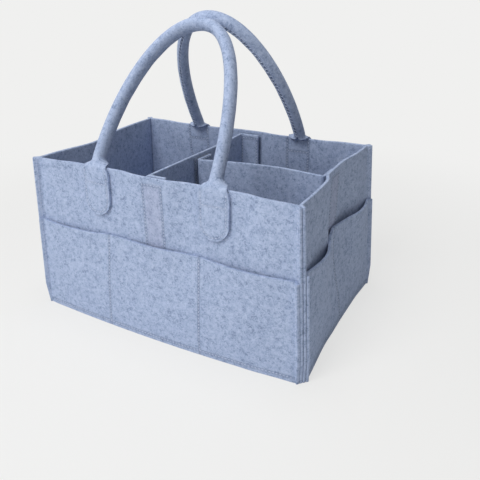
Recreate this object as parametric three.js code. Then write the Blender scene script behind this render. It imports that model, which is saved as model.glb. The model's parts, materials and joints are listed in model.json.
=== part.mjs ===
// A felt diaper caddy: a soft open box with sewn outer pockets, two rolled handles on flat sewn tabs,
// and two dividers that fasten to the walls and to each other with hook-and-loop tape.
// Millimetres, +Z up, the front towards -Y, the origin under the middle of the base.
import * as THREE from "three";

const { sin, cos, asin, atan2, abs, exp, hypot, min, max, sign, PI, SQRT2, SQRT1_2 } = Math;
const { smoothstep, lerp } = THREE.MathUtils;

// Felt, tape and the gap that is left between two sewn layers
const FELT = 3;
const TAPE = 1.5;
const GAP = 0.3;

// The body
const LENGTH = 330; // over the corners' folds, along the base
const DEPTH = 230; // over the middles of the long sides, along the base
const WALL_HEIGHT = 176;
const RIM_LEAN_X = 12; // how far the rim's corners stand inside the base's corners
const RIM_LEAN_Y = 6;
const LONG_BELLY = 6; // how far the long sides bow out along the base
const SHORT_BELLY = -4;
const FIN_REACH = 6; // the seam's raw edges past the corner, along the diagonal
const FIN_POINT = 2.5; // what is left of that reach at the base
const FIN_TAPER = 26; // height at which the fins have their full reach
const BASE_CORNER_RADIUS = 4;
const BASE_CLEARANCE = 0.9;

// The pockets: panel heights, and how far each mouth stands open
const LONG_POCKET_HEIGHT = 107;
const LONG_POCKET_BULGE = 3;
const SIDE_POCKET_HEIGHT = 113;
const SIDE_POCKET_BULGE = 7;
const BULGE_POWER = 1.6; // how fast a mouth opens with height
const LONG_SEAMS = [-1, -0.39, 0.34, 1]; // where the panels are sewn down, from corner fold to corner fold
const SIDE_SEAMS = [-1, 0.06, 1];
const POCKET_FALLOFF = 32; // a panel follows a drawn-in wall more softly than this

// The handles: one felt strip each, flat at the ends and rolled into a tube between them
const STRIP_WIDTH = 33;
const TAB_LENGTH = 50;
const HANDLE_SPAN = 137; // between the tabs' middles
const FRONT_HANDLE = { height: 157, tabsAt: -3, drift: -3, skew: 10 }; // seen from the front
const BACK_HANDLE = { height: 161, tabsAt: 0, drift: -4.5, skew: 2 }; // seen from the back
const ARCH_POWER = 2.1; // superellipse exponent of the arches
const NECK_LENGTH = 10; // the stretch over which the strip curls up
const TUBE_WIDTH_SHARE = 0.82; // the rolled strip's section, against a round one: narrow in the arch's plane
const TUBE_DEPTH_SHARE = 1.16;
const SEAM_GAP = 0.6; // between the rolled strip's edges
const CORE_CLEARANCE = 0.6;

// The dividers and their tapes
const MAIN_FRONT_X = -14; // the main divider's folds at its two ends
const MAIN_BACK_X = -6;
const MAIN_DIVIDER_DROP = 3; // below the rim
const MAIN_BOW = 2;
const MAIN_BOW_Y = 35;
const MAIN_BOW_SPREAD = 50;
const END_HOLD = 6; // how late the bow starts from the divider's ends
const CROSS_LEFT_Y = -14;
const CROSS_RIGHT_Y = -4;
const CROSS_DIVIDER_DROP = 6;
const CROSS_BOW = 9;
const DIVIDER_TAB = 24;
const FLOOR_CLEARANCE = 0.5;
const TAPE_WIDTH = 24;
const TAPE_LENGTH = 74;
const TAPE_DROP = 6; // the tape's top edge below the rim

// How far the soft walls are drawn in where something holds them
const HANDLE_PULL = 10;
const HANDLE_PULL_FOOT = 40; // height where the handles' pull starts
const CROSS_PULL = 18;
const LEFT_PULL = 24;
const LEFT_PULL_Y = -28;
const HANDLE_FALLOFF = 16;
const FRONT_TAPE_FALLOFF = 16;
const CROSS_FALLOFF_FRONT = 12;
const CROSS_FALLOFF_BACK = 30;
const LEFT_FALLOFF = 38;

// Mesh fineness
const WALL_STEPS = 30;
const DIVIDER_STEPS = 16;
const STRIP_COLUMNS = 13;
const SETTLE_STEPS = 2;
const TAB_STEPS = 3;
const TAB_ROUND_STEPS = 6;
const TAB_COLUMNS = 7;
const TAPE_COLUMNS = 4;
const NECK_ROWS = 6;
const ARCH_ROWS = 33;
const CORE_STEPS = 36;
const CORE_CURVE_STEPS = 5;
const BASE_CURVE_STEPS = 8;
const NEARLY_FLAT = 0.001; // the least curl of the strip
const TURN_STEP = 0.0001;

// Values that follow from the sizes above
const LAYER = FELT + GAP;
const TAPE_TOP = WALL_HEIGHT - TAPE_DROP;
const TAPE_FOOT = TAPE_TOP - TAPE_LENGTH;
const TAPE_STACK = FELT / 2 + 3 * GAP + 2 * TAPE + FELT / 2; // from wall middle to divider tab middle
const LOOP_OFFSET = FELT / 2 + GAP + TAPE / 2;
const HOOK_OFFSET = LOOP_OFFSET + TAPE + GAP;
const CORNER_X = LENGTH / 2 - LAYER - FELT / 2;
const CORNER_Y = DEPTH / 2 - LONG_BELLY - LAYER - FELT / 2;
const LONG_MARGIN = (2 * CORNER_X) / WALL_STEPS; // the flat stretch beside a tab or a tape
const SHORT_MARGIN = (2 * CORNER_Y) / WALL_STEPS;
const TAB_FOOT = WALL_HEIGHT - TAB_LENGTH;
const TAB_ROUND_TOP = TAB_FOOT + STRIP_WIDTH / 2;
const TAB_MIDDLE = (TAB_ROUND_TOP + WALL_HEIGHT) / 2; // of its straight stretch
const TUBE_RADIUS = (STRIP_WIDTH + SEAM_GAP) / (2 * PI); // of the middle of the rolled felt
const TUBE_HALF_DEPTH = TUBE_RADIUS * TUBE_DEPTH_SHARE;
const CORE_HALF_DEPTH = TUBE_HALF_DEPTH - FELT / 2 - CORE_CLEARANCE;
const CORE_HALF_WIDTH = TUBE_RADIUS * TUBE_WIDTH_SHARE - FELT / 2 - CORE_CLEARANCE;

const felt = new THREE.MeshStandardMaterial({ color: 0x93a3c0, roughness: 0.95, metalness: 0 });
const feltInside = new THREE.MeshStandardMaterial({ color: 0x8a99b5, roughness: 0.95, metalness: 0 });
const loopTape = new THREE.MeshStandardMaterial({ color: 0x8791a4, roughness: 0.9, metalness: 0 });
const hookTape = new THREE.MeshStandardMaterial({ color: 0x7f899c, roughness: 0.7, metalness: 0 });
const cotton = new THREE.MeshStandardMaterial({ color: 0xd8d2c4, roughness: 1, metalness: 0 });

// A sheet of even thickness over a grid of points. place(i, j) gives the sheet's middle and the vector
// from there to half a unit of thickness on its outer face: columns cross rows points that way.
function sheet(columns, rows, thickness, place) {
  const positions = [];
  for (let j = 0; j < rows; j++) {
    for (let i = 0; i < columns; i++) {
      const { middle, side } = place(i, j);
      for (const half of [thickness / 2, -thickness / 2]) {
        positions.push(...middle.clone().addScaledVector(side, half).toArray());
      }
    }
  }
  const outer = (i, j) => 2 * (j * columns + i);
  const inner = (i, j) => outer(i, j) + 1;
  const triangles = [];
  const quad = (p, q, r, s) => triangles.push(p, q, r, p, r, s);
  const lastColumn = columns - 1;
  const lastRow = rows - 1;
  for (let j = 0; j < lastRow; j++) {
    for (let i = 0; i < lastColumn; i++) {
      quad(outer(i, j), outer(i + 1, j), outer(i + 1, j + 1), outer(i, j + 1));
      quad(inner(i, j), inner(i, j + 1), inner(i + 1, j + 1), inner(i + 1, j));
    }
    quad(outer(0, j), outer(0, j + 1), inner(0, j + 1), inner(0, j));
    quad(outer(lastColumn, j + 1), outer(lastColumn, j), inner(lastColumn, j), inner(lastColumn, j + 1));
  }
  for (let i = 0; i < lastColumn; i++) {
    quad(inner(i, 0), inner(i + 1, 0), outer(i + 1, 0), outer(i, 0));
    quad(outer(i, lastRow), outer(i + 1, lastRow), inner(i + 1, lastRow), inner(i, lastRow));
  }
  const geometry = new THREE.BufferGeometry();
  geometry.setAttribute("position", new THREE.Float32BufferAttribute(positions, 3));
  geometry.setIndex(triangles);
  geometry.computeVertexNormals();
  return geometry;
}

function named(name, geometry, material) {
  const mesh = new THREE.Mesh(geometry, material);
  mesh.name = name;
  return mesh;
}

const evenly = (count, from, to) => Array.from({ length: count + 1 }, (_, i) => lerp(from, to, i / count));

// Heights of a panel's rows: the marks that lie inside it, between its foot and its top
function heights(marks, foot, top) {
  const inside = marks.filter((z) => z > foot && z < top).sort((p, q) => p - q);
  return [foot, ...inside, top];
}

// A wall is laid out as seen from outside: "along" runs to the right, "out" points away from the middle.
// Along the base the wall bows by its belly. Higher up, each hold draws it in to its own depth, over a
// flat stretch with a soft fall to both sides, from a foot up to a top. Slack is what a softer sheet lacks.
function wallPlan({ along, out, leanAlong, leanOut, belly, holds, levels }) {
  const rise = (z) => z / WALL_HEIGHT;
  const corner = (z) => ({ along: along - leanAlong * rise(z), out: out - leanOut * rise(z) });
  const bow = (a, z) => belly * (1 - (a / along) ** 2) * (1 - smoothstep(z, 0, TAPE_FOOT));
  const pull = (a, z, leastFalloff) =>
    holds.reduce((sum, { at, depth, flat, before, after, foot, top }) => {
      const beyond = max(0, abs(a - at) - flat) / max(leastFalloff, a < at ? before : after);
      return sum + exp(-beyond * beyond) * (depth * smoothstep(z, foot, top) - leanOut * rise(z));
    }, 0);
  const surface = (a, z, offset) => corner(z).out + offset + bow(a, z) - pull(a, z, 0);
  const slack = (a, z) => pull(a, z, 0) - pull(a, z, POCKET_FALLOFF);
  const marks = [...evenly(SETTLE_STEPS, FIN_TAPER, TAPE_FOOT), ...levels];
  return { corner, surface, slack, marks };
}

const finReach = (z) => lerp(FIN_POINT, FIN_REACH, min(1, z / FIN_TAPER));

const stationAlong = (plan, station, z, offset) =>
  station * (plan.corner(z).along - LAYER * SQRT1_2 - offset * (SQRT2 - 1));

// A point of a wall, or of a layer that lies parallel to it. The station is -1 to 1 between the two
// corner folds, and -2 or 2 at the raw edge of a flange, which runs out along the corner's diagonal.
function wallPoint(plan, station, z, offset) {
  const corner = plan.corner(z);
  const end = sign(station);
  const atFold = abs(station) === 1;
  if (abs(station) === 2) {
    const beside = LAYER / 2 + offset;
    return {
      middle: new THREE.Vector3(
        end * (corner.along + (finReach(z) - beside) * SQRT1_2),
        -(corner.out + (finReach(z) + beside) * SQRT1_2),
        z,
      ),
      side: new THREE.Vector3(-end * SQRT1_2, -SQRT1_2, 0),
    };
  }
  const a = stationAlong(plan, station, z, offset);
  const out = atFold ? corner.out + offset : plan.surface(a, z, offset);
  return {
    middle: new THREE.Vector3(a, -out, z),
    side: new THREE.Vector3(atFold ? -end * (SQRT2 - 1) : 0, -1, 0),
  };
}

const STATIONS = [-2, ...evenly(WALL_STEPS, -1, 1), 2];

function wallSheet(plan, top, offsetAt) {
  const rows = heights(plan.marks, 0, top);
  return sheet(STATIONS.length, rows.length, FELT, (i, j) =>
    wallPoint(plan, STATIONS[i], rows[j], offsetAt(STATIONS[i], rows[j])),
  );
}

// A pocket panel lies on its wall along the seams between the pockets, and gapes between them.
function pocketSheet(plan, top, bulge, seams) {
  const gape = (station, z) => {
    if (abs(station) >= 1) return 0;
    const next = seams.findIndex((seam) => seam > station);
    const share = (station - seams[next - 1]) / (seams[next] - seams[next - 1]);
    const open = bulge * sin(share * PI) * (z / top) ** BULGE_POWER;
    return max(0, open + plan.slack(stationAlong(plan, station, z, LAYER), z));
  };
  return wallSheet(plan, top, (station, z) => LAYER + gape(station, z));
}

// A flat piece sewn to a wall, or fastened inside it, following the wall at a given offset
function patch(plan, { middle, halfWidthAt, rows, columns, offset, thickness, heightOf }) {
  return sheet(columns, rows.length, thickness, (i, j) => {
    const a = middle + halfWidthAt(rows[j]) * lerp(-1, 1, i / (columns - 1));
    const out = plan.surface(a, heightOf ? heightOf(rows[j]) : rows[j], offset);
    return { middle: new THREE.Vector3(a, -out, rows[j]), side: new THREE.Vector3(0, -1, 0) };
  });
}

// The flat end of a handle strip: straight sides, with a round lower end
function tabSheet(plan, middle) {
  const radius = STRIP_WIDTH / 2;
  const turns = evenly(TAB_ROUND_STEPS, 0, PI / 2).slice(1);
  const rows = [...turns.map((turn) => TAB_FOOT + radius * (1 - cos(turn))), TAB_MIDDLE, WALL_HEIGHT];
  const halfWidthAt = (z) => {
    const below = max(0, 1 - (z - TAB_FOOT) / radius);
    return radius * Math.sqrt(1 - below * below);
  };
  return patch(plan, { middle, halfWidthAt, rows, columns: TAB_COLUMNS, offset: LAYER, thickness: FELT });
}

const tapeWidth = () => TAPE_WIDTH / 2;

function wallTape(plan, middle) {
  return patch(plan, {
    middle,
    halfWidthAt: tapeWidth,
    rows: [TAPE_FOOT, TAPE_TOP],
    columns: TAPE_COLUMNS,
    offset: -LOOP_OFFSET,
    thickness: TAPE,
  });
}

// The tape on a divider's tab stands upright, where the wall is at its rim.
function tabTape(plan, middle) {
  return patch(plan, {
    middle,
    halfWidthAt: tapeWidth,
    rows: [TAPE_FOOT, TAPE_TOP],
    columns: TAPE_COLUMNS,
    offset: -HOOK_OFFSET,
    thickness: TAPE,
    heightOf: () => WALL_HEIGHT,
  });
}

// An upright sheet over a path in plan, with its folds mitred. The path's left side is the outer face.
function uprightSheet(path, foot, top, thickness) {
  const leftOf = (p, q) => new THREE.Vector2(p.y - q.y, q.x - p.x).normalize();
  const sides = path.map((point, i) => {
    const before = i > 0 ? leftOf(path[i - 1], point) : leftOf(point, path[1]);
    const after = i < path.length - 1 ? leftOf(point, path[i + 1]) : before;
    return before.clone().add(after).divideScalar(1 + before.dot(after));
  });
  const rows = [foot, top];
  const last = path.length - 1;
  return sheet(path.length, rows.length, thickness, (i, j) => {
    const { x, y } = path[last - i];
    const side = sides[last - i];
    return { middle: new THREE.Vector3(x, y, rows[j]), side: new THREE.Vector3(side.x, side.y, 0) };
  });
}

// Walls, laid out from what holds them
const frontTapeMiddle = MAIN_FRONT_X + DIVIDER_TAB / 2;
const backTapeMiddle = -MAIN_BACK_X - DIVIDER_TAB / 2; // as seen from the back
const crossTapeMiddle = CROSS_RIGHT_Y + DIVIDER_TAB / 2;

function longWallPlan(tapeAt, tabsAt) {
  const handleHold = (at) => ({
    at,
    depth: HANDLE_PULL,
    flat: STRIP_WIDTH / 2 + LONG_MARGIN,
    before: HANDLE_FALLOFF,
    after: HANDLE_FALLOFF,
    foot: HANDLE_PULL_FOOT,
    top: WALL_HEIGHT,
  });
  return wallPlan({
    along: CORNER_X,
    out: CORNER_Y,
    leanAlong: RIM_LEAN_X,
    leanOut: RIM_LEAN_Y,
    belly: LONG_BELLY,
    holds: [
      handleHold(tabsAt - HANDLE_SPAN / 2),
      {
        at: tapeAt,
        depth: RIM_LEAN_Y,
        flat: TAPE_WIDTH / 2 + LONG_MARGIN,
        before: FRONT_TAPE_FALLOFF,
        after: FRONT_TAPE_FALLOFF,
        foot: 0,
        top: TAPE_FOOT,
      },
      handleHold(tabsAt + HANDLE_SPAN / 2),
    ],
    levels: [LONG_POCKET_HEIGHT, TAB_FOOT, TAB_ROUND_TOP, TAB_MIDDLE],
  });
}

function shortWallPlan(hold) {
  return wallPlan({
    along: CORNER_Y,
    out: CORNER_X,
    leanAlong: RIM_LEAN_Y,
    leanOut: RIM_LEAN_X,
    belly: SHORT_BELLY,
    holds: [hold],
    levels: [SIDE_POCKET_HEIGHT],
  });
}

const frontPlan = longWallPlan(frontTapeMiddle, FRONT_HANDLE.tabsAt);
const backPlan = longWallPlan(backTapeMiddle, BACK_HANDLE.tabsAt);
const rightPlan = shortWallPlan({
  at: crossTapeMiddle,
  depth: CROSS_PULL,
  flat: TAPE_WIDTH / 2 + SHORT_MARGIN,
  before: CROSS_FALLOFF_FRONT,
  after: CROSS_FALLOFF_BACK,
  foot: 0,
  top: TAPE_FOOT,
});
const leftPlan = shortWallPlan({
  at: -LEFT_PULL_Y,
  depth: LEFT_PULL,
  flat: 0,
  before: LEFT_FALLOFF,
  after: LEFT_FALLOFF,
  foot: 0,
  top: TAPE_FOOT,
});

const noOffset = () => 0;

// One side of the body, turned to face its way
function side(name, plan, turn, pocket) {
  const group = new THREE.Group();
  group.rotation.z = turn;
  group.add(
    named(`${name}_wall`, wallSheet(plan, WALL_HEIGHT, noOffset), felt),
    named(`${name}_pocket`, pocketSheet(plan, pocket.height, pocket.bulge, pocket.seams), felt),
  );
  return group;
}

function longSide(name, plan, turn, tapeAt, tabsAt, rightTab, leftTab) {
  const group = side(name, plan, turn, {
    height: LONG_POCKET_HEIGHT,
    bulge: LONG_POCKET_BULGE,
    seams: LONG_SEAMS,
  });
  group.add(
    named(`${name}_${rightTab}_tab`, tabSheet(plan, tabsAt + HANDLE_SPAN / 2), felt),
    named(`${name}_${leftTab}_tab`, tabSheet(plan, tabsAt - HANDLE_SPAN / 2), felt),
    named(`${name}_wall_loop_tape`, wallTape(plan, tapeAt), loopTape),
  );
  return group;
}

function shortSide(name, plan, turn) {
  return side(name, plan, turn, {
    height: SIDE_POCKET_HEIGHT,
    bulge: SIDE_POCKET_BULGE,
    seams: SIDE_SEAMS,
  });
}

// The floor fills the walls, and its edges bow as they do.
function basePanel() {
  const halfX = CORNER_X - FELT / 2 - BASE_CLEARANCE;
  const halfY = CORNER_Y - FELT / 2 - BASE_CLEARANCE;
  const r = BASE_CORNER_RADIUS;
  const longBow = halfY + 2 * LONG_BELLY;
  const shortBow = halfX + 2 * SHORT_BELLY;
  const outline = new THREE.Shape();
  outline.moveTo(-halfX + r, -halfY);
  outline.quadraticCurveTo(0, -longBow, halfX - r, -halfY);
  outline.absarc(halfX - r, -halfY + r, r, -PI / 2, 0);
  outline.quadraticCurveTo(shortBow, 0, halfX, halfY - r);
  outline.absarc(halfX - r, halfY - r, r, 0, PI / 2);
  outline.quadraticCurveTo(0, longBow, -halfX + r, halfY);
  outline.absarc(-halfX + r, halfY - r, r, PI / 2, PI);
  outline.quadraticCurveTo(-shortBow, 0, -halfX, -halfY + r);
  outline.absarc(-halfX + r, -halfY + r, r, PI, 1.5 * PI);
  const geometry = new THREE.ExtrudeGeometry(outline, {
    depth: FELT,
    curveSegments: BASE_CURVE_STEPS,
    bevelEnabled: false,
  });
  return named("base_panel", geometry, feltInside);
}

// The handles hinge at the outer face of the tabs' upper ends, and lean in until their crowns meet.
const HINGE_Z = WALL_HEIGHT + GAP;
const HINGE_OUT = frontPlan.surface(FRONT_HANDLE.tabsAt + HANDLE_SPAN / 2, WALL_HEIGHT, LAYER + FELT / 2);
const crownDepth = FELT / 2 + TUBE_HALF_DEPTH;
const crownGap = HINGE_OUT - TUBE_HALF_DEPTH - FELT / 2 - GAP / 2;
const leanOf = (height) => asin(crownGap / hypot(height, crownDepth)) - atan2(crownDepth, height);

// The arch of a handle, in its own plane: a superellipse that stands on the two tabs. Soft as it is, it
// drifts to one side along the necks, and its crown stands askew.
class Arch extends THREE.Curve {
  constructor({ height, tabsAt, drift, skew }) {
    super();
    this.height = height;
    this.tabsAt = tabsAt;
    this.drift = drift;
    this.skew = skew;
    this.lean = leanOf(height);
    this.neckStart = (GAP + FELT * sin(this.lean)) / cos(this.lean);
  }
  curledAt(y) {
    return smoothstep(y, this.neckStart, this.neckStart + NECK_LENGTH);
  }
  standing(turn) {
    const rise = sin(turn) ** (2 / ARCH_POWER);
    const x = (HANDLE_SPAN / 2) * sign(cos(turn)) * abs(cos(turn)) ** (2 / ARCH_POWER);
    return new THREE.Vector3(this.tabsAt + x + this.skew * rise ** 2, this.height * rise, 0);
  }
  at(turn) {
    const point = this.standing(turn);
    point.x += this.drift * this.curledAt(point.y);
    return point;
  }
  outwardAt(turn) {
    const along = this.standing(turn + TURN_STEP).sub(this.standing(turn - TURN_STEP));
    return new THREE.Vector3(along.y, -along.x, 0).normalize();
  }
  turnAt(height) {
    return asin((height / this.height) ** (ARCH_POWER / 2));
  }
  getPoint(u, target = new THREE.Vector3()) {
    const from = this.turnAt(NECK_LENGTH + this.neckStart);
    return target.copy(this.at(lerp(from, PI - from, u))).setZ(-FELT / 2 - TUBE_HALF_DEPTH);
  }
}

// The strip is flat at the tabs. Along the neck it curls inwards, until its edges meet in a seam.
function sleeveSheet(arch) {
  const neck = evenly(NECK_ROWS, arch.neckStart, arch.neckStart + NECK_LENGTH).map((y) => arch.turnAt(y));
  const from = neck[NECK_ROWS];
  const turns = [
    ...neck,
    ...evenly(ARCH_ROWS - 1, from, PI - from).slice(1, -1),
    ...neck.map((turn) => PI - turn).reverse(),
  ];
  const outerFace = new THREE.Vector3(0, 0, 1);
  return sheet(STRIP_COLUMNS, turns.length, FELT, (i, j) => {
    const point = arch.at(turns[j]);
    const outward = arch.outwardAt(turns[j]);
    const curled = max(NEARLY_FLAT, arch.curledAt(point.y));
    const radius = TUBE_RADIUS / curled;
    const angle = (STRIP_WIDTH * (i / (STRIP_COLUMNS - 1) - 0.5)) / radius;
    const width = lerp(1, TUBE_WIDTH_SHARE, curled);
    const depth = lerp(1, TUBE_DEPTH_SHARE, curled);
    const middle = point
      .addScaledVector(outward, width * radius * sin(angle))
      .addScaledVector(outerFace, -FELT / 2 - depth * radius * (1 - cos(angle)));
    const normal = outward.multiplyScalar(depth * sin(angle)).addScaledVector(outerFace, width * cos(angle));
    return { middle, side: normal.normalize() };
  });
}

function coreTube(arch) {
  const section = new THREE.Shape();
  section.absellipse(0, 0, CORE_HALF_DEPTH, CORE_HALF_WIDTH, 0, 2 * PI);
  return new THREE.ExtrudeGeometry(section, {
    extrudePath: arch,
    steps: CORE_STEPS,
    curveSegments: CORE_CURVE_STEPS,
    bevelEnabled: false,
  });
}

function handle(name, turn, sizes) {
  const arch = new Arch(sizes);
  const swung = new THREE.Group();
  swung.position.set(0, -HINGE_OUT, HINGE_Z);
  swung.rotation.x = PI / 2 - arch.lean;
  swung.add(
    named(`${name}_handle_sleeve`, sleeveSheet(arch), felt),
    named(`${name}_handle_core`, coreTube(arch), cotton),
  );
  const group = new THREE.Group();
  group.rotation.z = turn;
  group.add(swung);
  return group;
}

// Dividers. Their tabs stand upright where the walls are at the rim, so they lift straight out.
const alongTab = (plan, from, to) =>
  evenly(TAB_STEPS, from, to).map((a) => ({ a, out: plan.surface(a, WALL_HEIGHT, -TAPE_STACK) }));
const mainEndY = frontPlan.surface(MAIN_FRONT_X, WALL_HEIGHT, -TAPE_STACK);
const mainX = (y) => {
  const held = 1 - abs(y / mainEndY) ** END_HOLD;
  const bow = MAIN_BOW * exp(-(((y - MAIN_BOW_Y) / MAIN_BOW_SPREAD) ** 2));
  return lerp(MAIN_FRONT_X, MAIN_BACK_X, (y / mainEndY + 1) / 2) + bow * held;
};

function mainDivider() {
  const frontTab = alongTab(frontPlan, MAIN_FRONT_X + DIVIDER_TAB, MAIN_FRONT_X);
  const backTab = alongTab(backPlan, -MAIN_BACK_X, -MAIN_BACK_X - DIVIDER_TAB);
  const run = evenly(DIVIDER_STEPS, -mainEndY, mainEndY).map((y) => new THREE.Vector2(mainX(y), y));
  const path = [
    ...frontTab.map(({ a, out }) => new THREE.Vector2(a, -out)),
    ...run.slice(1, -1),
    ...backTab.map(({ a, out }) => new THREE.Vector2(-a, out)),
  ];
  return uprightSheet(path, FELT + FLOOR_CLEARANCE, WALL_HEIGHT - MAIN_DIVIDER_DROP, FELT);
}

// A strip beside the main divider, from the cross divider's fold along its tab
const besideMain = (offset, from, to) =>
  evenly(TAB_STEPS, from, to).map((y) => new THREE.Vector2(mainX(y) + offset, y));

const crossTabEnd = CROSS_LEFT_Y + DIVIDER_TAB;

function crossDivider() {
  const left = besideMain(TAPE_STACK, crossTabEnd, CROSS_LEFT_Y);
  const start = left[left.length - 1];
  const tab = alongTab(rightPlan, CROSS_RIGHT_Y, CROSS_RIGHT_Y + DIVIDER_TAB);
  const right = tab.map(({ a, out }) => new THREE.Vector2(out, a));
  const endX = right[0].x;
  const run = evenly(DIVIDER_STEPS, 0, 1).map(
    (u) =>
      new THREE.Vector2(
        lerp(start.x, endX, u),
        lerp(CROSS_LEFT_Y, CROSS_RIGHT_Y, u) + CROSS_BOW * sin(PI * u),
      ),
  );
  const path = [...left, ...run.slice(1, -1), ...right];
  return uprightSheet(path, FELT + FLOOR_CLEARANCE, WALL_HEIGHT - CROSS_DIVIDER_DROP, FELT);
}

const tapeBesideMain = (offset) =>
  uprightSheet(besideMain(offset, crossTabEnd, CROSS_LEFT_Y), TAPE_FOOT, TAPE_TOP, TAPE);

function turned(mesh, turn) {
  mesh.rotation.z = turn;
  return mesh;
}

const caddy = new THREE.Group();
caddy.add(
  basePanel(),
  longSide("front", frontPlan, 0, frontTapeMiddle, FRONT_HANDLE.tabsAt, "right", "left"),
  longSide("back", backPlan, PI, backTapeMiddle, BACK_HANDLE.tabsAt, "left", "right"),
  shortSide("right", rightPlan, PI / 2),
  shortSide("left", leftPlan, -PI / 2),
  turned(named("right_wall_loop_tape", wallTape(rightPlan, crossTapeMiddle), loopTape), PI / 2),
  handle("front", 0, FRONT_HANDLE),
  handle("back", PI, BACK_HANDLE),
  named("main_divider", mainDivider(), feltInside),
  named("main_divider_front_hook_tape", tabTape(frontPlan, frontTapeMiddle), hookTape),
  turned(named("main_divider_back_hook_tape", tabTape(backPlan, backTapeMiddle), hookTape), PI),
  named("main_divider_loop_tape", tapeBesideMain(LOOP_OFFSET), loopTape),
  named("cross_divider", crossDivider(), feltInside),
  named("cross_divider_left_hook_tape", tapeBesideMain(HOOK_OFFSET), hookTape),
  turned(named("cross_divider_right_hook_tape", tabTape(rightPlan, crossTapeMiddle), hookTape), PI / 2),
);

export default caddy;
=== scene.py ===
"""A felt diaper caddy, dressed: sewn panels, rolled handles, loose dividers, tapes and thread."""

import json
import logging
import math
from collections.abc import Callable
from dataclasses import dataclass
from enum import Enum

import bpy
import numpy as np
from mathutils import Euler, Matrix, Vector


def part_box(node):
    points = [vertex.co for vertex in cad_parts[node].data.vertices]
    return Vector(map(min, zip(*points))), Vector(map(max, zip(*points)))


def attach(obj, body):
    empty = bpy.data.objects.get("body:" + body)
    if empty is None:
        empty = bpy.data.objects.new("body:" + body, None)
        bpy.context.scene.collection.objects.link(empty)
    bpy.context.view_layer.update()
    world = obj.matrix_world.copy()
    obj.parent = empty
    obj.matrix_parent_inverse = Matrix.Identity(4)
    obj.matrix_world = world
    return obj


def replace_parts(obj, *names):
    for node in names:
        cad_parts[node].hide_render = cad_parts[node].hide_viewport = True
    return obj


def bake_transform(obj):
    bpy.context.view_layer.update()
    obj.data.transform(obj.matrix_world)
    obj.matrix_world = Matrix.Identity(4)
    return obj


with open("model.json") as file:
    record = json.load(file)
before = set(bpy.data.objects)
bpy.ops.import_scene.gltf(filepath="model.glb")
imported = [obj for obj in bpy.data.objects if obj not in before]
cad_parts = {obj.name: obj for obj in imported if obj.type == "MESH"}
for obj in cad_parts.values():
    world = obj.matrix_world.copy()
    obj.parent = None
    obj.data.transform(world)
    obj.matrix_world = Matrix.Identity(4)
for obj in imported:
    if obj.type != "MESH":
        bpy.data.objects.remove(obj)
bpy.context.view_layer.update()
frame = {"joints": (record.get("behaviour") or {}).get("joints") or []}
LOG = logging.getLogger("caddy")

Points = np.ndarray
Seam = tuple[Points, Points]  # points on a face and the normals there
Place = Callable[[Points, Points], Points]
Marks = Callable[[Points, Points], dict[str, Points]]

MILLIMETRE = 0.001
HALF_DIAGONAL = math.sqrt(0.5)
DIAGONAL = math.sqrt(2.0)
SMALL_STEP = 0.2 * MILLIMETRE  # for slopes taken by differences
RIPPLE_LENGTH = 0.09  # of the felt's waves, from crest to crest
Z_AXIS = np.array([0.0, 0.0, 1.0])
MERGE_REACH = 1e-5  # vertices this close are one


class Body(Enum):
    """The bodies of the frame that pieces ride on."""

    BOX = "body"
    FRONT_HANDLE = "front_handle"
    BACK_HANDLE = "back_handle"
    MAIN_DIVIDER = "main_divider"
    CROSS_DIVIDER = "cross_divider"


class Slot(Enum):
    """The record's material slots."""

    OUTSIDE = "felt_outside"
    INSIDE = "felt_inside"
    LOOPS = "loop_tape"
    HOOKS = "hook_tape"
    CORD = "filler_cord"


class Side(Enum):
    """The four sides of the box, each with its turn about the vertical."""

    FRONT = ("front", 0.0)
    BACK = ("back", math.pi)
    RIGHT = ("right", math.pi / 2)
    LEFT = ("left", -math.pi / 2)

    @property
    def word(self) -> str:
        """The side's name."""
        return self.value[0]

    @property
    def turn(self) -> float:
        """The side's turn about the vertical, in radians."""
        return self.value[1]


class Face(Enum):
    """The two faces of a sheet: a side for each, along its normal."""

    OUTER = 1
    INNER = -1


class Mark(Enum):
    """Where the felt is sewn or lies over a tape, kept as values on the mesh for its colour: painted shade
    along the seams, and a pressed tint over the tapes.
    """

    SEAM = "seam"
    PRESSED = "pressed"


@dataclass(frozen=True)
class Stock:
    """The felt and tape that everything is cut from, in metres."""

    felt: float = 0.003
    tape: float = 0.0015
    tape_base: float = 0.0008  # the woven ground under the hooks or loops
    gap: float = 0.0003

    @property
    def layer(self) -> float:
        """From the middle of one sewn layer to the middle of the next."""
        return self.felt + self.gap

    @property
    def tape_stack(self) -> float:
        """From the middle of a wall to the middle of a divider's tab that is fastened to it."""
        return self.felt + 3 * self.gap + 2 * self.tape

    @property
    def loop_offset(self) -> float:
        """From the middle of a panel to the middle of the ground of the loop tape sewn to it."""
        return self.felt / 2 + self.gap + self.tape_base / 2

    @property
    def hook_offset(self) -> float:
        """From the middle of that panel to the middle of the ground of the hook tape."""
        return self.tape_stack - self.loop_offset


STOCK = Stock()


@dataclass(frozen=True)
class Sewing:
    """How every seam lies in the felt, in metres."""

    sink: float = 0.00025
    half_width: float = 0.0013
    step: float = 0.002  # between the points of a seam's line
    end: float = 0.002  # from the felt's edge to the end of a seam


SEWING = Sewing()


def smoothstep(value: Points, low: float, high: float) -> Points:
    """Rises softly from 0 at low to 1 at high."""
    share = np.clip((value - low) / (high - low), 0.0, 1.0)
    return share * share * (3 - 2 * share)


def unit(vectors: Points) -> Points:
    """Vectors scaled to length 1."""
    return vectors / np.linalg.norm(vectors, axis=-1, keepdims=True)


def turned(points: Points, turn: float) -> Points:
    """Points turned about the vertical through the origin.

    Args:
        points: The points, with x, y and z along their last axis.
        turn: The angle in radians, anticlockwise seen from above.

    Returns:
        The turned points.
    """
    c, s = math.cos(turn), math.sin(turn)
    x, y, z = points[..., 0], points[..., 1], points[..., 2]
    return np.stack([c * x - s * y, s * x + c * y, z], axis=-1)


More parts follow.
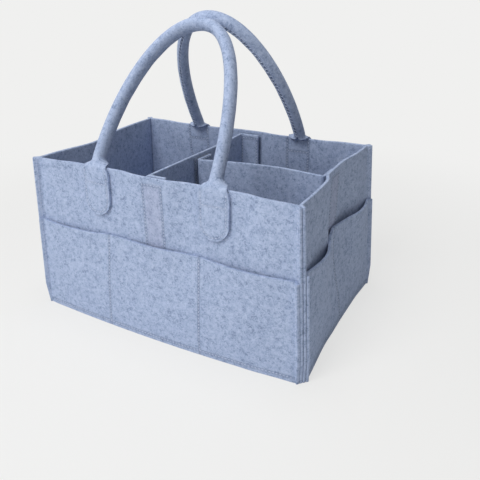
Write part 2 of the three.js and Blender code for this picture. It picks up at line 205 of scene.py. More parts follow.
def ripple(p: Points, q: Points, phase: float) -> Points:
    """The gentle waviness of soft felt: two crossing waves, bent by uneven shares so as not to repeat.

    Args:
        p: Places across the felt, in metres.
        q: Places up the felt, in metres.
        phase: Shifts the waves, so that no two sheets wave alike.

    Returns:
        Values within 1 either way.
    """
    wave = 2 * math.pi / RIPPLE_LENGTH
    first = np.sin(wave * p + 1.4 * np.sin(0.6 * wave * q + phase))
    second = np.sin(0.8 * wave * q + 1.2 * np.sin(0.5 * wave * p - phase) + 2 * phase)
    return 0.5 * (first + second)


def valley(distance: Points, half_width: float) -> Points:
    """1 on a seam line, falling softly to 0 beside it."""
    return np.exp(-((distance / half_width) ** 2))


def spaced(low: float, high: float, step: float) -> Points:
    """Even values from low to high, about a step apart."""
    return np.linspace(low, high, max(2, round(abs(high - low) / step) + 1))


def lengths_along(line: Points) -> Points:
    """The length run at each point of a line."""
    return np.concatenate([[0.0], np.cumsum(np.linalg.norm(np.diff(line, axis=0), axis=1))])


def sampled(values: Points, run: Points, at: Points) -> Points:
    """Rows of values, known at lengths along a line, read off at other lengths."""
    return np.stack([np.interp(at, run, values[:, k]) for k in range(values.shape[1])], axis=1)


def respaced(line: Points, step: float) -> Points:
    """A line with its points an even step apart."""
    run = lengths_along(line)
    return sampled(line, run, spaced(0.0, run[-1], step))


def linear(colour: str) -> tuple[float, float, float, float]:
    """An sRGB hex colour as linear RGBA.

    Args:
        colour: Six hex digits after a hash.

    Returns:
        The linear colour, with full alpha.
    """
    parts = [int(colour[i : i + 2], 16) / 255 for i in (1, 3, 5)]
    red, green, blue = (p / 12.92 if p <= 0.04045 else ((p + 0.055) / 1.055) ** 2.4 for p in parts)
    return red, green, blue, 1.0


def add_node(tree: bpy.types.NodeTree, kind: str, inputs: dict | None = None, **settings) -> bpy.types.Node:
    """Adds a shader node with its settings, values and links.

    Args:
        tree: The node tree.
        kind: The node's type name.
        inputs: A value or an output socket for each named or numbered input.
        settings: Properties of the node.

    Returns:
        The new node.
    """
    node = tree.nodes.new(kind)
    for name, value in settings.items():
        setattr(node, name, value)
    for name, value in (inputs or {}).items():
        if isinstance(value, bpy.types.NodeSocket):
            tree.links.new(value, node.inputs[name])
        else:
            node.inputs[name].default_value = value
    return node


def per_metre(size_mm: float) -> float:
    """A texture's scale for features of a size in millimetres."""
    return 1.0 / (size_mm * MILLIMETRE)


def new_material(name: str) -> tuple[bpy.types.Material, bpy.types.NodeTree]:
    """A material with an empty node tree.

    Args:
        name: The material's name.

    Returns:
        The material and its tree.
    """
    material = bpy.data.materials.new(name)
    material.use_nodes = True
    material.node_tree.nodes.clear()
    return material, material.node_tree


@dataclass(frozen=True)
class PressedFelt:
    """Needle-punched polyester felt: a matt mat of light and dark fibres.

    The eye sees a heathered blue-grey, cloudy over half a centimetre and flecked at a few millimetres,
    with no gloss and a faint pale bloom where it is seen at a slant. Seams sink into shallow grooves,
    where painted shade darkens the felt, and the felt over a sewn tape is pressed flat and a little
    pinkish.
    """

    name: str = "pressed_polyester_felt"
    dark: str = "#7584A2"
    middle: str = "#9DACC9"
    light: str = "#B2BFD9"
    # painted shade along the seams: the colour the felt darkens towards in each seam's groove
    seam_shade: str = "#56627D"
    seam_shade_share: float = 0.6
    flattened: str = "#A39FB6"
    flattened_share: float = 0.22
    bloom: str = "#DDE4F2"
    cloud_mm: float = 6.0
    cloud_share: float = 0.3
    fleck_mm: float = 2.4
    fleck_bend: float = 1.1
    fibre_mm: float = 0.9  # real fibres are finer, and would not show
    fibre_share: float = 0.28
    fibre_bend: float = 2.0
    dark_at: float = 0.34  # values of the mixed patterns for the three colours
    middle_at: float = 0.475
    light_at: float = 0.62
    relief_mm: float = 0.5

    def build(self) -> bpy.types.Material:
        """The felt's material."""
        material, tree = new_material(self.name)
        place = add_node(tree, "ShaderNodeTexCoord").outputs["Object"]
        patterns = (self.cloud_mm, 0.0), (self.fleck_mm, self.fleck_bend), (self.fibre_mm, self.fibre_bend)
        cloud, fleck, fibre = (
            add_node(
                tree,
                "ShaderNodeTexNoise",
                {"Vector": place, "Scale": per_metre(size), "Detail": 2.0, "Distortion": bend},
            ).outputs["Fac"]
            for size, bend in patterns
        )
        fibrous = {0: self.fibre_share, 2: fleck, 3: fibre}
        mixed = add_node(tree, "ShaderNodeMix", fibrous, data_type="FLOAT").outputs[0]
        cloudy = {0: self.cloud_share, 2: mixed, 3: cloud}
        heather = add_node(tree, "ShaderNodeMix", cloudy, data_type="FLOAT").outputs[0]
        ramp = add_node(tree, "ShaderNodeValToRGB", {"Fac": heather})
        stops = ramp.color_ramp.elements
        stops[0].position, stops[0].color = self.dark_at, linear(self.dark)
        stops[1].position, stops[1].color = self.light_at, linear(self.light)
        stops.new(self.middle_at).color = linear(self.middle)
        colour = ramp.outputs["Color"]
        # a pressed tint over the tapes, then painted shade along the seams
        for mark, tint_or_seam_shade, share in (
            (Mark.PRESSED, self.flattened, self.flattened_share),
            (Mark.SEAM, self.seam_shade, self.seam_shade_share),
        ):
            value = add_node(tree, "ShaderNodeAttribute", attribute_name=mark.value).outputs["Fac"]
            amount = add_node(tree, "ShaderNodeMath", {0: value, 1: share}, operation="MULTIPLY").outputs[0]
            inputs = {0: amount, 6: colour, 7: linear(tint_or_seam_shade)}
            colour = add_node(tree, "ShaderNodeMix", inputs, data_type="RGBA").outputs[2]
        relief = {"Strength": 0.55, "Distance": self.relief_mm * MILLIMETRE, "Height": mixed}
        shader = add_node(
            tree,
            "ShaderNodeBsdfPrincipled",
            {
                "Base Color": colour,
                "Roughness": 0.95,
                "Specular IOR Level": 0.15,
                "Sheen Weight": 0.05,
                "Sheen Roughness": 0.6,
                "Sheen Tint": linear(self.bloom),
                "Normal": add_node(tree, "ShaderNodeBump", relief).outputs["Normal"],
            },
        )
        add_node(tree, "ShaderNodeOutputMaterial", {"Surface": shader.outputs["BSDF"]})
        return material


@dataclass(frozen=True)
class SpunYarn:
    """Spun yarn, as sewing thread, woven tape or twisted cord: matt, with fine light and dark plies."""

    name: str
    dark: str
    light: str
    ply_mm: float
    roughness: float
    dark_at: float = 0.35
    light_at: float = 0.65
    relief_share: float = 0.2  # of a ply

    def build(self) -> bpy.types.Material:
        """The yarn's material."""
        material, tree = new_material(self.name)
        place = add_node(tree, "ShaderNodeTexCoord").outputs["Object"]
        inputs = {"Vector": place, "Scale": per_metre(self.ply_mm), "Detail": 2.0}
        ply = add_node(tree, "ShaderNodeTexNoise", inputs).outputs["Fac"]
        ramp = add_node(tree, "ShaderNodeValToRGB", {"Fac": ply})
        stops = ramp.color_ramp.elements
        stops[0].position, stops[0].color = self.dark_at, linear(self.dark)
        stops[1].position, stops[1].color = self.light_at, linear(self.light)
        depth = self.relief_share * self.ply_mm * MILLIMETRE
        relief = {"Strength": 0.5, "Distance": depth, "Height": ply}
        shader = add_node(
            tree,
            "ShaderNodeBsdfPrincipled",
            {
                "Base Color": ramp.outputs["Color"],
                "Roughness": self.roughness,
                "Specular IOR Level": 0.3,
                "Normal": add_node(tree, "ShaderNodeBump", relief).outputs["Normal"],
            },
        )
        add_node(tree, "ShaderNodeOutputMaterial", {"Surface": shader.outputs["BSDF"]})
        return material


@dataclass(frozen=True)
class Finishes:
    """Every material of the caddy."""

    felt: bpy.types.Material
    thread: bpy.types.Material
    loops: bpy.types.Material
    hooks: bpy.types.Material
    cord: bpy.types.Material

    @classmethod
    def make(cls) -> "Finishes":
        """Builds the materials once."""
        yarns = {
            # tightly spun: pale, with a dull shine on each stitch
            "thread": SpunYarn("spun_polyester_thread", "#A3AFC9", "#C3CDE2", ply_mm=0.8, roughness=0.7),
            # brushed up: dark between the loops, with no shine
            "loops": SpunYarn("brushed_nylon_loop_tape", "#6C7890", "#8C98B0", ply_mm=0.9, roughness=0.9),
            # moulded: darker and smoother, with a soft glint on the hooks
            "hooks": SpunYarn("moulded_nylon_hook_tape", "#66728A", "#808CA4", ply_mm=1.2, roughness=0.5),
            # loosely twisted: undyed, creamy and quite matt
            "cord": SpunYarn("twisted_cotton_cord", "#BDB6A6", "#E2DCCD", ply_mm=1.1, roughness=0.95),
        }
        return cls(felt=PressedFelt().build(), **{part: yarn.build() for part, yarn in yarns.items()})


def deselect() -> None:
    """Leaves nothing selected."""
    bpy.ops.object.select_all(action="DESELECT")


def ready(piece: bpy.types.Object) -> bpy.types.Object:
    """Selects one piece alone and makes it the active one.

    Args:
        piece: The piece.

    Returns:
        The same piece.
    """
    deselect()
    piece.select_set(True)
    bpy.context.view_layer.objects.active = piece
    return piece


def apply_modifier(piece: bpy.types.Object, kind: str, **settings) -> None:
    """Adds a modifier to a piece and applies it.

    Args:
        piece: The piece.
        kind: The modifier's type name.
        settings: Properties of the modifier.
    """
    ready(piece)
    modifier = piece.modifiers.new(kind.lower(), kind)
    for name, value in settings.items():
        setattr(modifier, name, value)
    bpy.ops.object.modifier_apply(modifier=modifier.name)


def set_points(piece: bpy.types.Object, points: Points) -> None:
    """Moves a piece's vertices to the given points."""
    piece.data.vertices.foreach_set("co", np.asarray(points, np.float32).ravel())
    piece.data.update()


def get_points(piece: bpy.types.Object) -> Points:
    """A piece's vertices.

    Args:
        piece: The piece.

    Returns:
        Their places, one row for each.
    """
    flat = np.zeros(3 * len(piece.data.vertices), np.float32)
    piece.data.vertices.foreach_get("co", flat)
    return flat.reshape(-1, 3).astype(float)


def closed_tube(piece: bpy.types.Object) -> None:
    """Joins the long edges of a grid that is rolled up, closes its ends and turns its faces outwards.

    Args:
        piece: The rolled-up grid.
    """
    ready(piece)
    bpy.ops.object.mode_set(mode="EDIT")
    bpy.ops.mesh.select_all(action="SELECT")
    bpy.ops.mesh.remove_doubles(threshold=MERGE_REACH)
    bpy.ops.mesh.select_all(action="SELECT")
    bpy.ops.mesh.fill_holes(sides=0)
    bpy.ops.mesh.select_all(action="SELECT")
    bpy.ops.mesh.normals_make_consistent(inside=False)
    bpy.ops.object.mode_set(mode="OBJECT")


def finished(
    piece: bpy.types.Object, material: bpy.types.Material, smooth_deg: float = 60.0
) -> bpy.types.Object:
    """Gives a piece its material and smooth shading, up to an angle.

    Args:
        piece: The piece.
        material: Its material.
        smooth_deg: The angle between two faces past which their edge stays sharp.

    Returns:
        The same piece.
    """
    piece.data.materials.clear()
    piece.data.materials.append(material)
    ready(piece)
    bpy.ops.object.shade_smooth_by_angle(angle=math.radians(smooth_deg))
    return piece


def on_face(place: Place, p: Points, q: Points, face: Face) -> Seam:
    """Points of a surface and the normals of one of its faces there.

    Args:
        place: Turns coordinates across and up the surface into points.
        p: Coordinates across, in metres.
        q: Coordinates up, in metres.
        face: The face that is meant.

    Returns:
        The points and that face's normals.
    """
    right = place(p + SMALL_STEP, q) - place(p - SMALL_STEP, q)
    rise = place(p, q + SMALL_STEP) - place(p, q - SMALL_STEP)
    return place(p, q), unit(np.cross(right, rise)) * face.value


@dataclass
class ClothSheet:
    """A sheet of even thickness over a grid of sheet coordinates.

    place turns coordinates across and up the sheet into the points of its middle, and marks gives where
    it is sewn or pressed there, for the felt's painted seam shade and pressed tint.
    """

    name: str
    across: Points
    up: Points
    place: Place
    thickness: float = STOCK.felt
    edge_round: float = 0.0006
    edge_steps: int = 2
    edge_deg: float = 60.0  # edges sharper than this are cut edges
    smooth_deg: float = 70.0
    marks: Marks | None = None

    def build(self, material: bpy.types.Material) -> bpy.types.Object:
        """The sheet as a closed mesh with soft cut edges.

        Args:
            material: The cloth's material.

        Returns:
            The sheet's piece.
        """
        deselect()
        columns, rows = len(self.across), len(self.up)
        bpy.ops.mesh.primitive_grid_add(x_subdivisions=columns - 1, y_subdivisions=rows - 1, size=2)
        piece = bpy.context.object
        piece.name = self.name
        piece.data.name = self.name
        grid = get_points(piece)
        p = np.interp(grid[:, 0], np.linspace(-1, 1, columns), self.across)
        q = np.interp(grid[:, 1], np.linspace(-1, 1, rows), self.up)
        set_points(piece, self.place(p, q))
        for name, values in (self.marks(p, q) if self.marks else {}).items():
            layer = piece.data.attributes.new(name, "FLOAT", "POINT")
            layer.data.foreach_set("value", np.asarray(values, np.float32))
        apply_modifier(
            piece,
            "SOLIDIFY",
            thickness=self.thickness,
            offset=0.0,
            use_even_offset=True,
            use_quality_normals=True,
        )
        apply_modifier(
            piece,
            "BEVEL",
            width=self.edge_round,
            segments=self.edge_steps,
            limit_method="ANGLE",
            angle_limit=math.radians(self.edge_deg),
        )
        return finished(piece, material, self.smooth_deg)

    def face_at(self, p: Points, q: Points, face: Face) -> Seam:
        """Points on one face of the sheet, and the normals there.

        Args:
            p: Coordinates across the sheet, in metres.
            q: Coordinates up the sheet, in metres.
            face: The face that is meant.

        Returns:
            The points and the outward normals.
        """
        points, normal = on_face(self.place, p, q, face)
        return points + normal * self.thickness / 2, normal


@dataclass(frozen=True)
class SmallShape:
    """A small mesh that is modelled once and repeated many times."""

    points: Points
    faces: list[list[int]]

    @classmethod
    def taken_from(cls, piece: bpy.types.Object) -> "SmallShape":
        """Takes the mesh of a piece and removes the piece.

        Args:
            piece: A piece that is modelled at the origin.

        Returns:
            Its shape.
        """
        shape = cls(get_points(piece), [list(face.vertices) for face in piece.data.polygons])
        bpy.data.objects.remove(piece)
        return shape

    def repeated(
        self, name: str, centres: Points, along: Points, normals: Points, material: bpy.types.Material
    ) -> bpy.types.Object:
        """Copies the shape to many places in one piece.

        Args:
            name: The piece's name.
            centres: Where each copy sits.
            along: Each copy's own first axis.
            normals: The way each copy stands up.
            material: The piece's material.

        Returns:
            The piece.
        """
        forward = unit(along)
        upward = unit(normals - forward * np.sum(forward * normals, axis=1, keepdims=True))
        axes = np.stack([forward, np.cross(upward, forward), upward], axis=1)
        points = centres[:, None, :] + np.einsum("vk,nkc->nvc", self.points, axes)
        count = len(self.points)
        faces = [[i + copy * count for i in face] for copy in range(len(centres)) for face in self.faces]
        mesh = bpy.data.meshes.new(name)
        mesh.from_pydata(points.reshape(-1, 3).tolist(), [], faces)
        piece = bpy.data.objects.new(name, mesh)
        bpy.context.scene.collection.objects.link(piece)
        return finished(piece, material)


@dataclass(frozen=True)
class Stitching:
    """A run of stitches: a dash of thread at every pitch, its ends drawn into the felt."""

    pitch: float = 0.0036
    length: float = 0.0027
    width: float = 0.0010
    height: float = 0.0009
    slant_deg: float = 0.0  # how far each dash is turned out of the line

    def dash(self) -> SmallShape:
        """One stitch."""
        deselect()
        bpy.ops.mesh.primitive_uv_sphere_add(segments=8, ring_count=5, radius=0.5)
        piece = bpy.context.object
        bpy.ops.object.mode_set(mode="EDIT")
        bpy.ops.transform.resize(value=(self.length, self.width, self.height))
        bpy.ops.object.mode_set(mode="OBJECT")
        return SmallShape.taken_from(piece)

    def sew(self, name: str, seams: list[Seam], thread: bpy.types.Material) -> bpy.types.Object:
        """Runs stitches along seam lines.

        Args:
            name: The piece's name.
            seams: For each line, its points on the felt and the normals there.
            thread: The thread's material.

        Returns:
            The stitches, as one piece.
        """
        centres, along, normals = [], [], []
        slant = math.radians(self.slant_deg)
        for line, sides in seams:
            run = lengths_along(line)
            count = max(1, round(run[-1] / self.pitch))
            at = (np.arange(count) + 0.5) * run[-1] / count
            side = sampled(sides, run, at)
            forward = unit(sampled(line, run, at + SMALL_STEP) - sampled(line, run, at - SMALL_STEP))
            centres.append(sampled(line, run, at))
            along.append(forward * math.cos(slant) + np.cross(side, forward) * math.sin(slant))
            normals.append(side)
        return self.dash().repeated(
            name, np.concatenate(centres), np.concatenate(along), np.concatenate(normals), thread
        )


LOCKSTITCH = Stitching()
WHIPSTITCH = Stitching(pitch=0.0045, length=0.0048, width=0.0008, height=0.0007, slant_deg=62.0)
TAPE_STITCH = Stitching(pitch=0.0030, length=0.0023, width=0.0007, height=0.0006)


@dataclass(frozen=True)
class Hold:
    """A place where something draws a soft wall in: a flat stretch, and a soft fall to both sides."""

    at: float
    depth: float
    flat: float
    before: float
    after: float
    foot: float
    top: float

    def grip(self, a: Points, least_falloff: float = 0.0) -> Points:
        """1 on the flat stretch, falling to 0 beside it."""
        fall = np.maximum(least_falloff, np.where(a < self.at, self.before, self.after))
        return valley(np.maximum(0.0, np.abs(a - self.at) - self.flat), fall)


@dataclass(frozen=True)
class BoxSizes:
    """The sizes of the felt box, in metres."""

    length: float = 0.330
    depth: float = 0.230
    rim_lean_x: float = 0.012
    rim_lean_y: float = 0.006
    long_belly: float = 0.006
    short_belly: float = -0.004
    fin_reach: float = 0.006
    fin_point: float = 0.0025
    fin_taper: float = 0.026
    floor_tuck: float = 0.0006  # how far the floor's edges go into the felt of the walls
    fold_from: float = 0.97  # share of half a wall's run, past which it straightens for the corner fold
    long_pocket_seams: tuple[float, ...] = (-1.0, -0.39, 0.34, 1.0)  # as shares of half the run
    long_pocket_gape: float = 0.003
    long_pocket_sag: float = 0.002
    short_pocket_seams: tuple[float, ...] = (-1.0, 0.06, 1.0)
    short_pocket_gape: float = 0.007
    gape_power: float = 1.6
    pocket_falloff: float = 0.032
    tape_drop: float = 0.006
    tape_length: float = 0.074
    tape_width: float = 0.024
    tape_seam_inset: float = 0.0014
    margin_share: float = 1 / 30  # of a wall's run, kept flat beside a tab or a tape

    @property
    def height(self) -> float:
        """Height of the walls."""
        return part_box("front_wall")[1].z

    @property
    def corner_x(self) -> float:
        """Half the length, at the middle of the short walls' felt."""
        return self.length / 2 - STOCK.layer - STOCK.felt / 2

    @property
    def corner_y(self) -> float:
        """Half the depth at the corners, at the middle of the long walls' felt."""
        return self.depth / 2 - self.long_belly - STOCK.layer - STOCK.felt / 2

    @property
    def tape_top(self) -> float:
        """Height of the tapes' upper ends."""
        return self.height - self.tape_drop

    @property
    def tape_foot(self) -> float:
        """Height of the tapes' lower ends."""
        return self.tape_top - self.tape_length


BOX = BoxSizes()


@dataclass(frozen=True)
class TapeSeam:
    """The rectangular seam round a tape: places along a sheet, and heights."""

    middle: float
    half_width: float = BOX.tape_width / 2 - BOX.tape_seam_inset
    low: float = BOX.tape_foot + BOX.tape_seam_inset
    high: float = BOX.tape_top - BOX.tape_seam_inset

    def beyond(self, a: Points, z: Points) -> Points:
        """How far outside the rectangle a place is, or below 0 inside it.

        Args:
            a: Places along the sheet.
            z: Heights.

        Returns:
            The distances.
        """
        beside = np.abs(a - self.middle) - self.half_width
        above = np.abs(z - (self.low + self.high) / 2) - (self.high - self.low) / 2
        return np.maximum(beside, above)

    def line(self) -> tuple[Points, Points]:
        """The seam's run, as places along the sheet and heights."""
        left, right = self.middle - self.half_width, self.middle + self.half_width
        corners = np.array(
            [(left, self.low), (right, self.low), (right, self.high), (left, self.high), (left, self.low)]
        )
        line = np.concatenate([respaced(corners[i : i + 2], SEWING.step) for i in range(4)])
        return line[:, 0], line[:, 1]


@dataclass(frozen=True)
class WallPlan:
    """The run of one wall as seen from outside: along to the right, out away from the middle."""

    side: Side
    along: float
    out: float
    lean_along: float
    lean_out: float
    belly: float
    holds: tuple[Hold, ...]
    tabs: tuple[float, ...] = ()
    tape: float | None = None

    def corner_along(self, z: Points) -> Points:
        """Half the wall's run at a height."""
        return self.along - self.lean_along * z / BOX.height

    def corner_out(self, z: Points) -> Points:
        """How far out the wall's corners are at a height."""
        return self.out - self.lean_out * z / BOX.height

    def pull(self, a: Points, z: Points, least_falloff: float = 0.0) -> Points:
        """How far the holds draw in the wall, or a sheet that only bends more softly.

        Args:
            a: Places along the wall.
            z: Heights.
            least_falloff: The shortest fall beside a hold that the sheet can follow.

        Returns:
            The distances inwards.
        """
        return sum(
            hold.grip(a, least_falloff)
            * (hold.depth * smoothstep(z, hold.foot, hold.top) - self.lean_out * z / BOX.height)
            for hold in self.holds
        )

    def slack(self, a: Points, z: Points) -> Points:
        """How far a pocket panel stays off the drawn-in wall."""
        return self.pull(a, z) - self.pull(a, z, BOX.pocket_falloff)

    def surface(self, a: Points, z: Points, offset: Points) -> Points:
        """How far out the wall, or a layer beside it, is at a place along it and a height."""
        bow = self.belly * (1 - (a / self.along) ** 2) * (1 - smoothstep(z, 0.0, BOX.tape_foot))
        return self.corner_out(z) + offset + bow - self.pull(a, z)

    def half_run(self, z: Points, offset: Points) -> Points:
        """From the wall's middle to the fold of a layer's flange."""
        return self.corner_along(z) - STOCK.layer * HALF_DIAGONAL - offset * (DIAGONAL - 1)

    def along_at(self, station: Points, z: Points, offset: Points) -> Points:
        """How far along the wall a station is, with the flanges' stations at their folds."""
        return np.clip(station, -1.0, 1.0) * self.half_run(z, offset)

    def at(self, a: Points, z: Points, offset: Points) -> Points:
        """Points beside the wall, between its corners."""
        return turned(np.stack([a, -self.surface(a, z, offset), z], axis=-1), self.side.turn)

    def point(self, station: Points, z: Points, offset: Points) -> Points:
        """Points of the wall or of a layer beside it.

        Args:
            station: -1 to 1 between the corner folds, and on to -2 or 2 at the raw edges of the flanges.
            z: Heights.
            offset: Distance out from the wall's middle.

        Returns:
            The points.
        """
        end = np.sign(station)
        a = self.along_at(station, z, offset)
        near_fold = smoothstep(np.abs(station), BOX.fold_from, 1.0)
        folded = self.corner_out(z) + offset
        out = self.surface(a, z, offset) * (1 - near_fold) + folded * near_fold
        fold = np.stack([a, -out, z], axis=-1)
        reach = BOX.fin_point + (BOX.fin_reach - BOX.fin_point) * np.minimum(1.0, z / BOX.fin_taper)
        beside = STOCK.layer / 2 + offset
        tip = np.stack(
            [
                end * (self.corner_along(z) + (reach - beside) * HALF_DIAGONAL),
                -(self.corner_out(z) + (reach + beside) * HALF_DIAGONAL),
                z,
            ],
            axis=-1,
        )
        flange = np.maximum(0.0, np.abs(station) - 1.0)[..., None]
        return turned(fold + (tip - fold) * flange, self.side.turn)

    def face(self, a: Points, z: Points, offset: Points, face: Face) -> Seam:
        """Points beside the wall and the normals there, on its outer or its inner face."""
        return on_face(lambda b, height: self.at(b, height, offset), a, z, face)


@dataclass(frozen=True)
class HandleSizes:
    """The sizes of a handle: one felt strip, flat at its ends and rolled into a tube between them."""

    strip_width: float = 0.033
    tab_length: float = 0.050
    span: float = 0.137
    arch_power: float = 2.1
    neck_length: float = 0.010
    shoulder: float = 0.28  # share of the strip's width that its rounded shoulders take off
    shoulder_at: float = 0.0025  # above the rim
    shoulder_reach: float = 0.0042
    width_share: float = 0.82  # of the tube's section, against a round one
    depth_share: float = 1.16
    seam_gap: float = 0.0006
    core_clearance: float = 0.0006
    pull: float = 0.010
    pull_foot: float = 0.040
    falloff: float = 0.016
    stitch_inset: float = 0.0032
    cross_line_drop: float = 0.0165
    stitch_drop: float = 0.003  # from the rim to the upper ends of a tab's seam

    @property
    def tube_radius(self) -> float:
        """Radius of the middle of the rolled felt, were it round."""
        return (self.strip_width + self.seam_gap) / (2 * math.pi)

    @property
    def half_depth(self) -> float:
        """Half the depth of the rolled strip, at the middle of its felt."""
        return self.tube_radius * self.depth_share

    @property
    def tab_foot(self) -> float:
        """Height of the tabs' round lower ends."""
        return BOX.height - self.tab_length

    def narrowed(self, above_rim: Points) -> Points:
        """The share of the strip's width that is left at its shoulders, by the height above the rim."""
        return 1 - self.shoulder * valley(above_rim - self.shoulder_at, self.shoulder_reach)

    def seam_distance(self, x: Points, z: Points) -> Points:
        """How far a place is from a tab's seams.

        Args:
            x: Distances from the tab's middle line.
            z: Heights.

        Returns:
            The distances to the nearest seam.
        """
        radius = self.strip_width / 2
        below = np.maximum(0.0, self.tab_foot + radius - z)
        edge = np.abs(radius - self.stitch_inset - np.hypot(x, below))
        beside = np.abs(x) - radius + self.stitch_inset
        return np.minimum(edge, np.maximum(np.abs(z - BOX.height + self.cross_line_drop), beside))


HANDLE = HandleSizes()


@dataclass(frozen=True)
class HandleStance:
    """How one soft handle stands, as seen from its own side of the box."""

    height: float
    tabs_at: float
    drift: float  # to one side, along the necks
    skew: float  # of the crown

    @property
    def tabs(self) -> tuple[float, float]:
        """Where the middles of the left and the right tab are, along the wall."""
        return self.tabs_at - HANDLE.span / 2, self.tabs_at + HANDLE.span / 2


STANCES = {
    Side.FRONT: HandleStance(height=0.157, tabs_at=-0.003, drift=-0.003, skew=0.010),
    Side.BACK: HandleStance(height=0.161, tabs_at=0.0, drift=-0.0045, skew=0.002),
}


@dataclass(frozen=True)
class DividerSizes:
    """The sizes of the two dividers, and how they pull on the walls."""

    main_front_x: float = -0.014
    main_back_x: float = -0.006
    main_drop: float = 0.003
    front_tab_rise: float = 0.0025  # how far the front tab has crept up on its tape
    main_bow: float = 0.002
    main_bow_y: float = 0.035
    main_bow_spread: float = 0.050
    end_hold: float = 6.0
    cross_left_y: float = -0.014
    cross_right_y: float = -0.004
    cross_drop: float = 0.006
    cross_bow: float = 0.009
    tab: float = 0.024
    floor_clearance: float = 0.0005
    fold_radius: float = 0.004
    cross_pull: float = 0.018
    left_pull: float = 0.024
    left_pull_y: float = -0.028
    tape_falloff: float = 0.016
    cross_falloff_front: float = 0.012
    cross_falloff_back: float = 0.030
    left_falloff: float = 0.038

    @property
    def foot(self) -> float:
        """Height of the dividers' lower edges."""
        return STOCK.felt + self.floor_clearance


DIVIDER = DividerSizes()


def long_plan(side: Side, tape: float) -> WallPlan:
    """The plan of a long wall, drawn in at its handle tabs and held flat at its tape.

    Args:
        side: The wall's side.
        tape: Where the middle of its tape is, along the wall.

    Returns:
        The plan.
    """
    margin = 2 * BOX.corner_x * BOX.margin_share
    tab_flat = HANDLE.strip_width / 2 + margin
    tape_flat = BOX.tape_width / 2 + margin
    fall, tape_fall = HANDLE.falloff, DIVIDER.tape_falloff
    tabs = STANCES[side].tabs
    holds = [Hold(at, HANDLE.pull, tab_flat, fall, fall, HANDLE.pull_foot, BOX.height) for at in tabs]
    holds.append(Hold(tape, BOX.rim_lean_y, tape_flat, tape_fall, tape_fall, 0.0, BOX.tape_foot))
    return WallPlan(
        side,
        along=BOX.corner_x,
        out=BOX.corner_y,
        lean_along=BOX.rim_lean_x,
        lean_out=BOX.rim_lean_y,
        belly=BOX.long_belly,
        holds=tuple(holds),
        tabs=tabs,
        tape=tape,
    )


def short_plan(side: Side, hold: Hold, tape: float | None = None) -> WallPlan:
    """The plan of a short wall with one place where it is drawn in.

    Args:
        side: The wall's side.
        hold: Where it is drawn in.
        tape: Where the middle of its tape is, along the wall, if it has one.

    Returns:
        The plan.
    """
    return WallPlan(
        side,
        along=BOX.corner_y,
        out=BOX.corner_x,
        lean_along=BOX.rim_lean_y,
        lean_out=BOX.rim_lean_x,
        belly=BOX.short_belly,
        holds=(hold,),
        tape=tape,
    )


CROSS_TAPE = DIVIDER.cross_right_y + DIVIDER.tab / 2
PLANS = {
    Side.FRONT: long_plan(Side.FRONT, DIVIDER.main_front_x + DIVIDER.tab / 2),
    Side.BACK: long_plan(Side.BACK, -DIVIDER.main_back_x - DIVIDER.tab / 2),
    Side.RIGHT: short_plan(
        Side.RIGHT,
        Hold(
            at=CROSS_TAPE,
            depth=DIVIDER.cross_pull,
            flat=BOX.tape_width / 2 + 2 * BOX.corner_y * BOX.margin_share,
            before=DIVIDER.cross_falloff_front,
            after=DIVIDER.cross_falloff_back,
            foot=0.0,
            top=BOX.tape_foot,
        ),
        CROSS_TAPE,
    ),
    Side.LEFT: short_plan(
        Side.LEFT,
        Hold(
            at=-DIVIDER.left_pull_y,
            depth=DIVIDER.left_pull,
            flat=0.0,
            before=DIVIDER.left_falloff,
            after=DIVIDER.left_falloff,
            foot=0.0,
            top=BOX.tape_foot,
        ),
    ),
}


@dataclass(frozen=True)
class Pocket:
    """A pocket panel: one felt sheet on a wall, sewn down into several pockets that gape between seams."""

    plan: WallPlan
    height: float
    seams: tuple[float, ...]
    gape: float
    sag: float = 0.0
    hem: float = 0.005

    @classmethod
    def on(cls, side: Side) -> "Pocket":
        """The pocket panel of a side.

        Args:
            side: The side.

        Returns:
            A long panel on a side that has a handle, and a short one on the others.
        """
        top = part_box(f"{side.word}_pocket")[1].z
        if side in STANCES:
            seams, gape, sag = BOX.long_pocket_seams, BOX.long_pocket_gape, BOX.long_pocket_sag
            return cls(PLANS[side], top, seams, gape, sag)
        return cls(PLANS[side], top, BOX.short_pocket_seams, BOX.short_pocket_gape)

    def between(self, station: Points) -> Points:
        """How near a station is to the middle of a pocket.

        Args:
            station: Stations across the panel.

        Returns:
            0 at the seams, rising to 1 midway between two of them.
        """
        seams = np.array(self.seams)
        inside = np.clip(station, -1.0, 1.0)
        after = np.clip(np.searchsorted(seams, inside, side="right"), 1, len(seams) - 1)
        return np.sin(math.pi * (inside - seams[after - 1]) / (seams[after] - seams[after - 1]))

    def lowered(self, station: Points, z: Points) -> Points:
        """Heights on the panel, with its mouths sagging between the seams."""
        return z - self.sag * self.between(station) * smoothstep(z, self.height / 2, self.height)

    def offset(self, station: Points, z: Points) -> Points:
        """How far the panel's middle is from the wall's: on it at the seams, gaping between them.

        Args:
            station: Stations across the panel.
            z: Heights.

        Returns:
            The distances out from the wall's middle.
        """
        gape = self.gape * self.between(station) * (z / self.height) ** BOX.gape_power
        slack = self.plan.slack(self.plan.along_at(station, z, STOCK.layer), z)
        return STOCK.layer + np.where(np.abs(station) < 1, np.maximum(0.0, gape + slack), 0.0)

    def seam_distance(self, station: Points, z: Points) -> Points:
        """How far a place is from the seams between the pockets and along the hem.

        Args:
            station: Stations across the panel.
            z: Heights.

        Returns:
            The distances to the nearest seam.
        """
        run = self.plan.half_run(z, STOCK.layer)
        gaps = [np.abs(station - seam) * run for seam in self.seams[1:-1]]
        return np.min([*gaps, np.abs(z - self.hem)], axis=0)


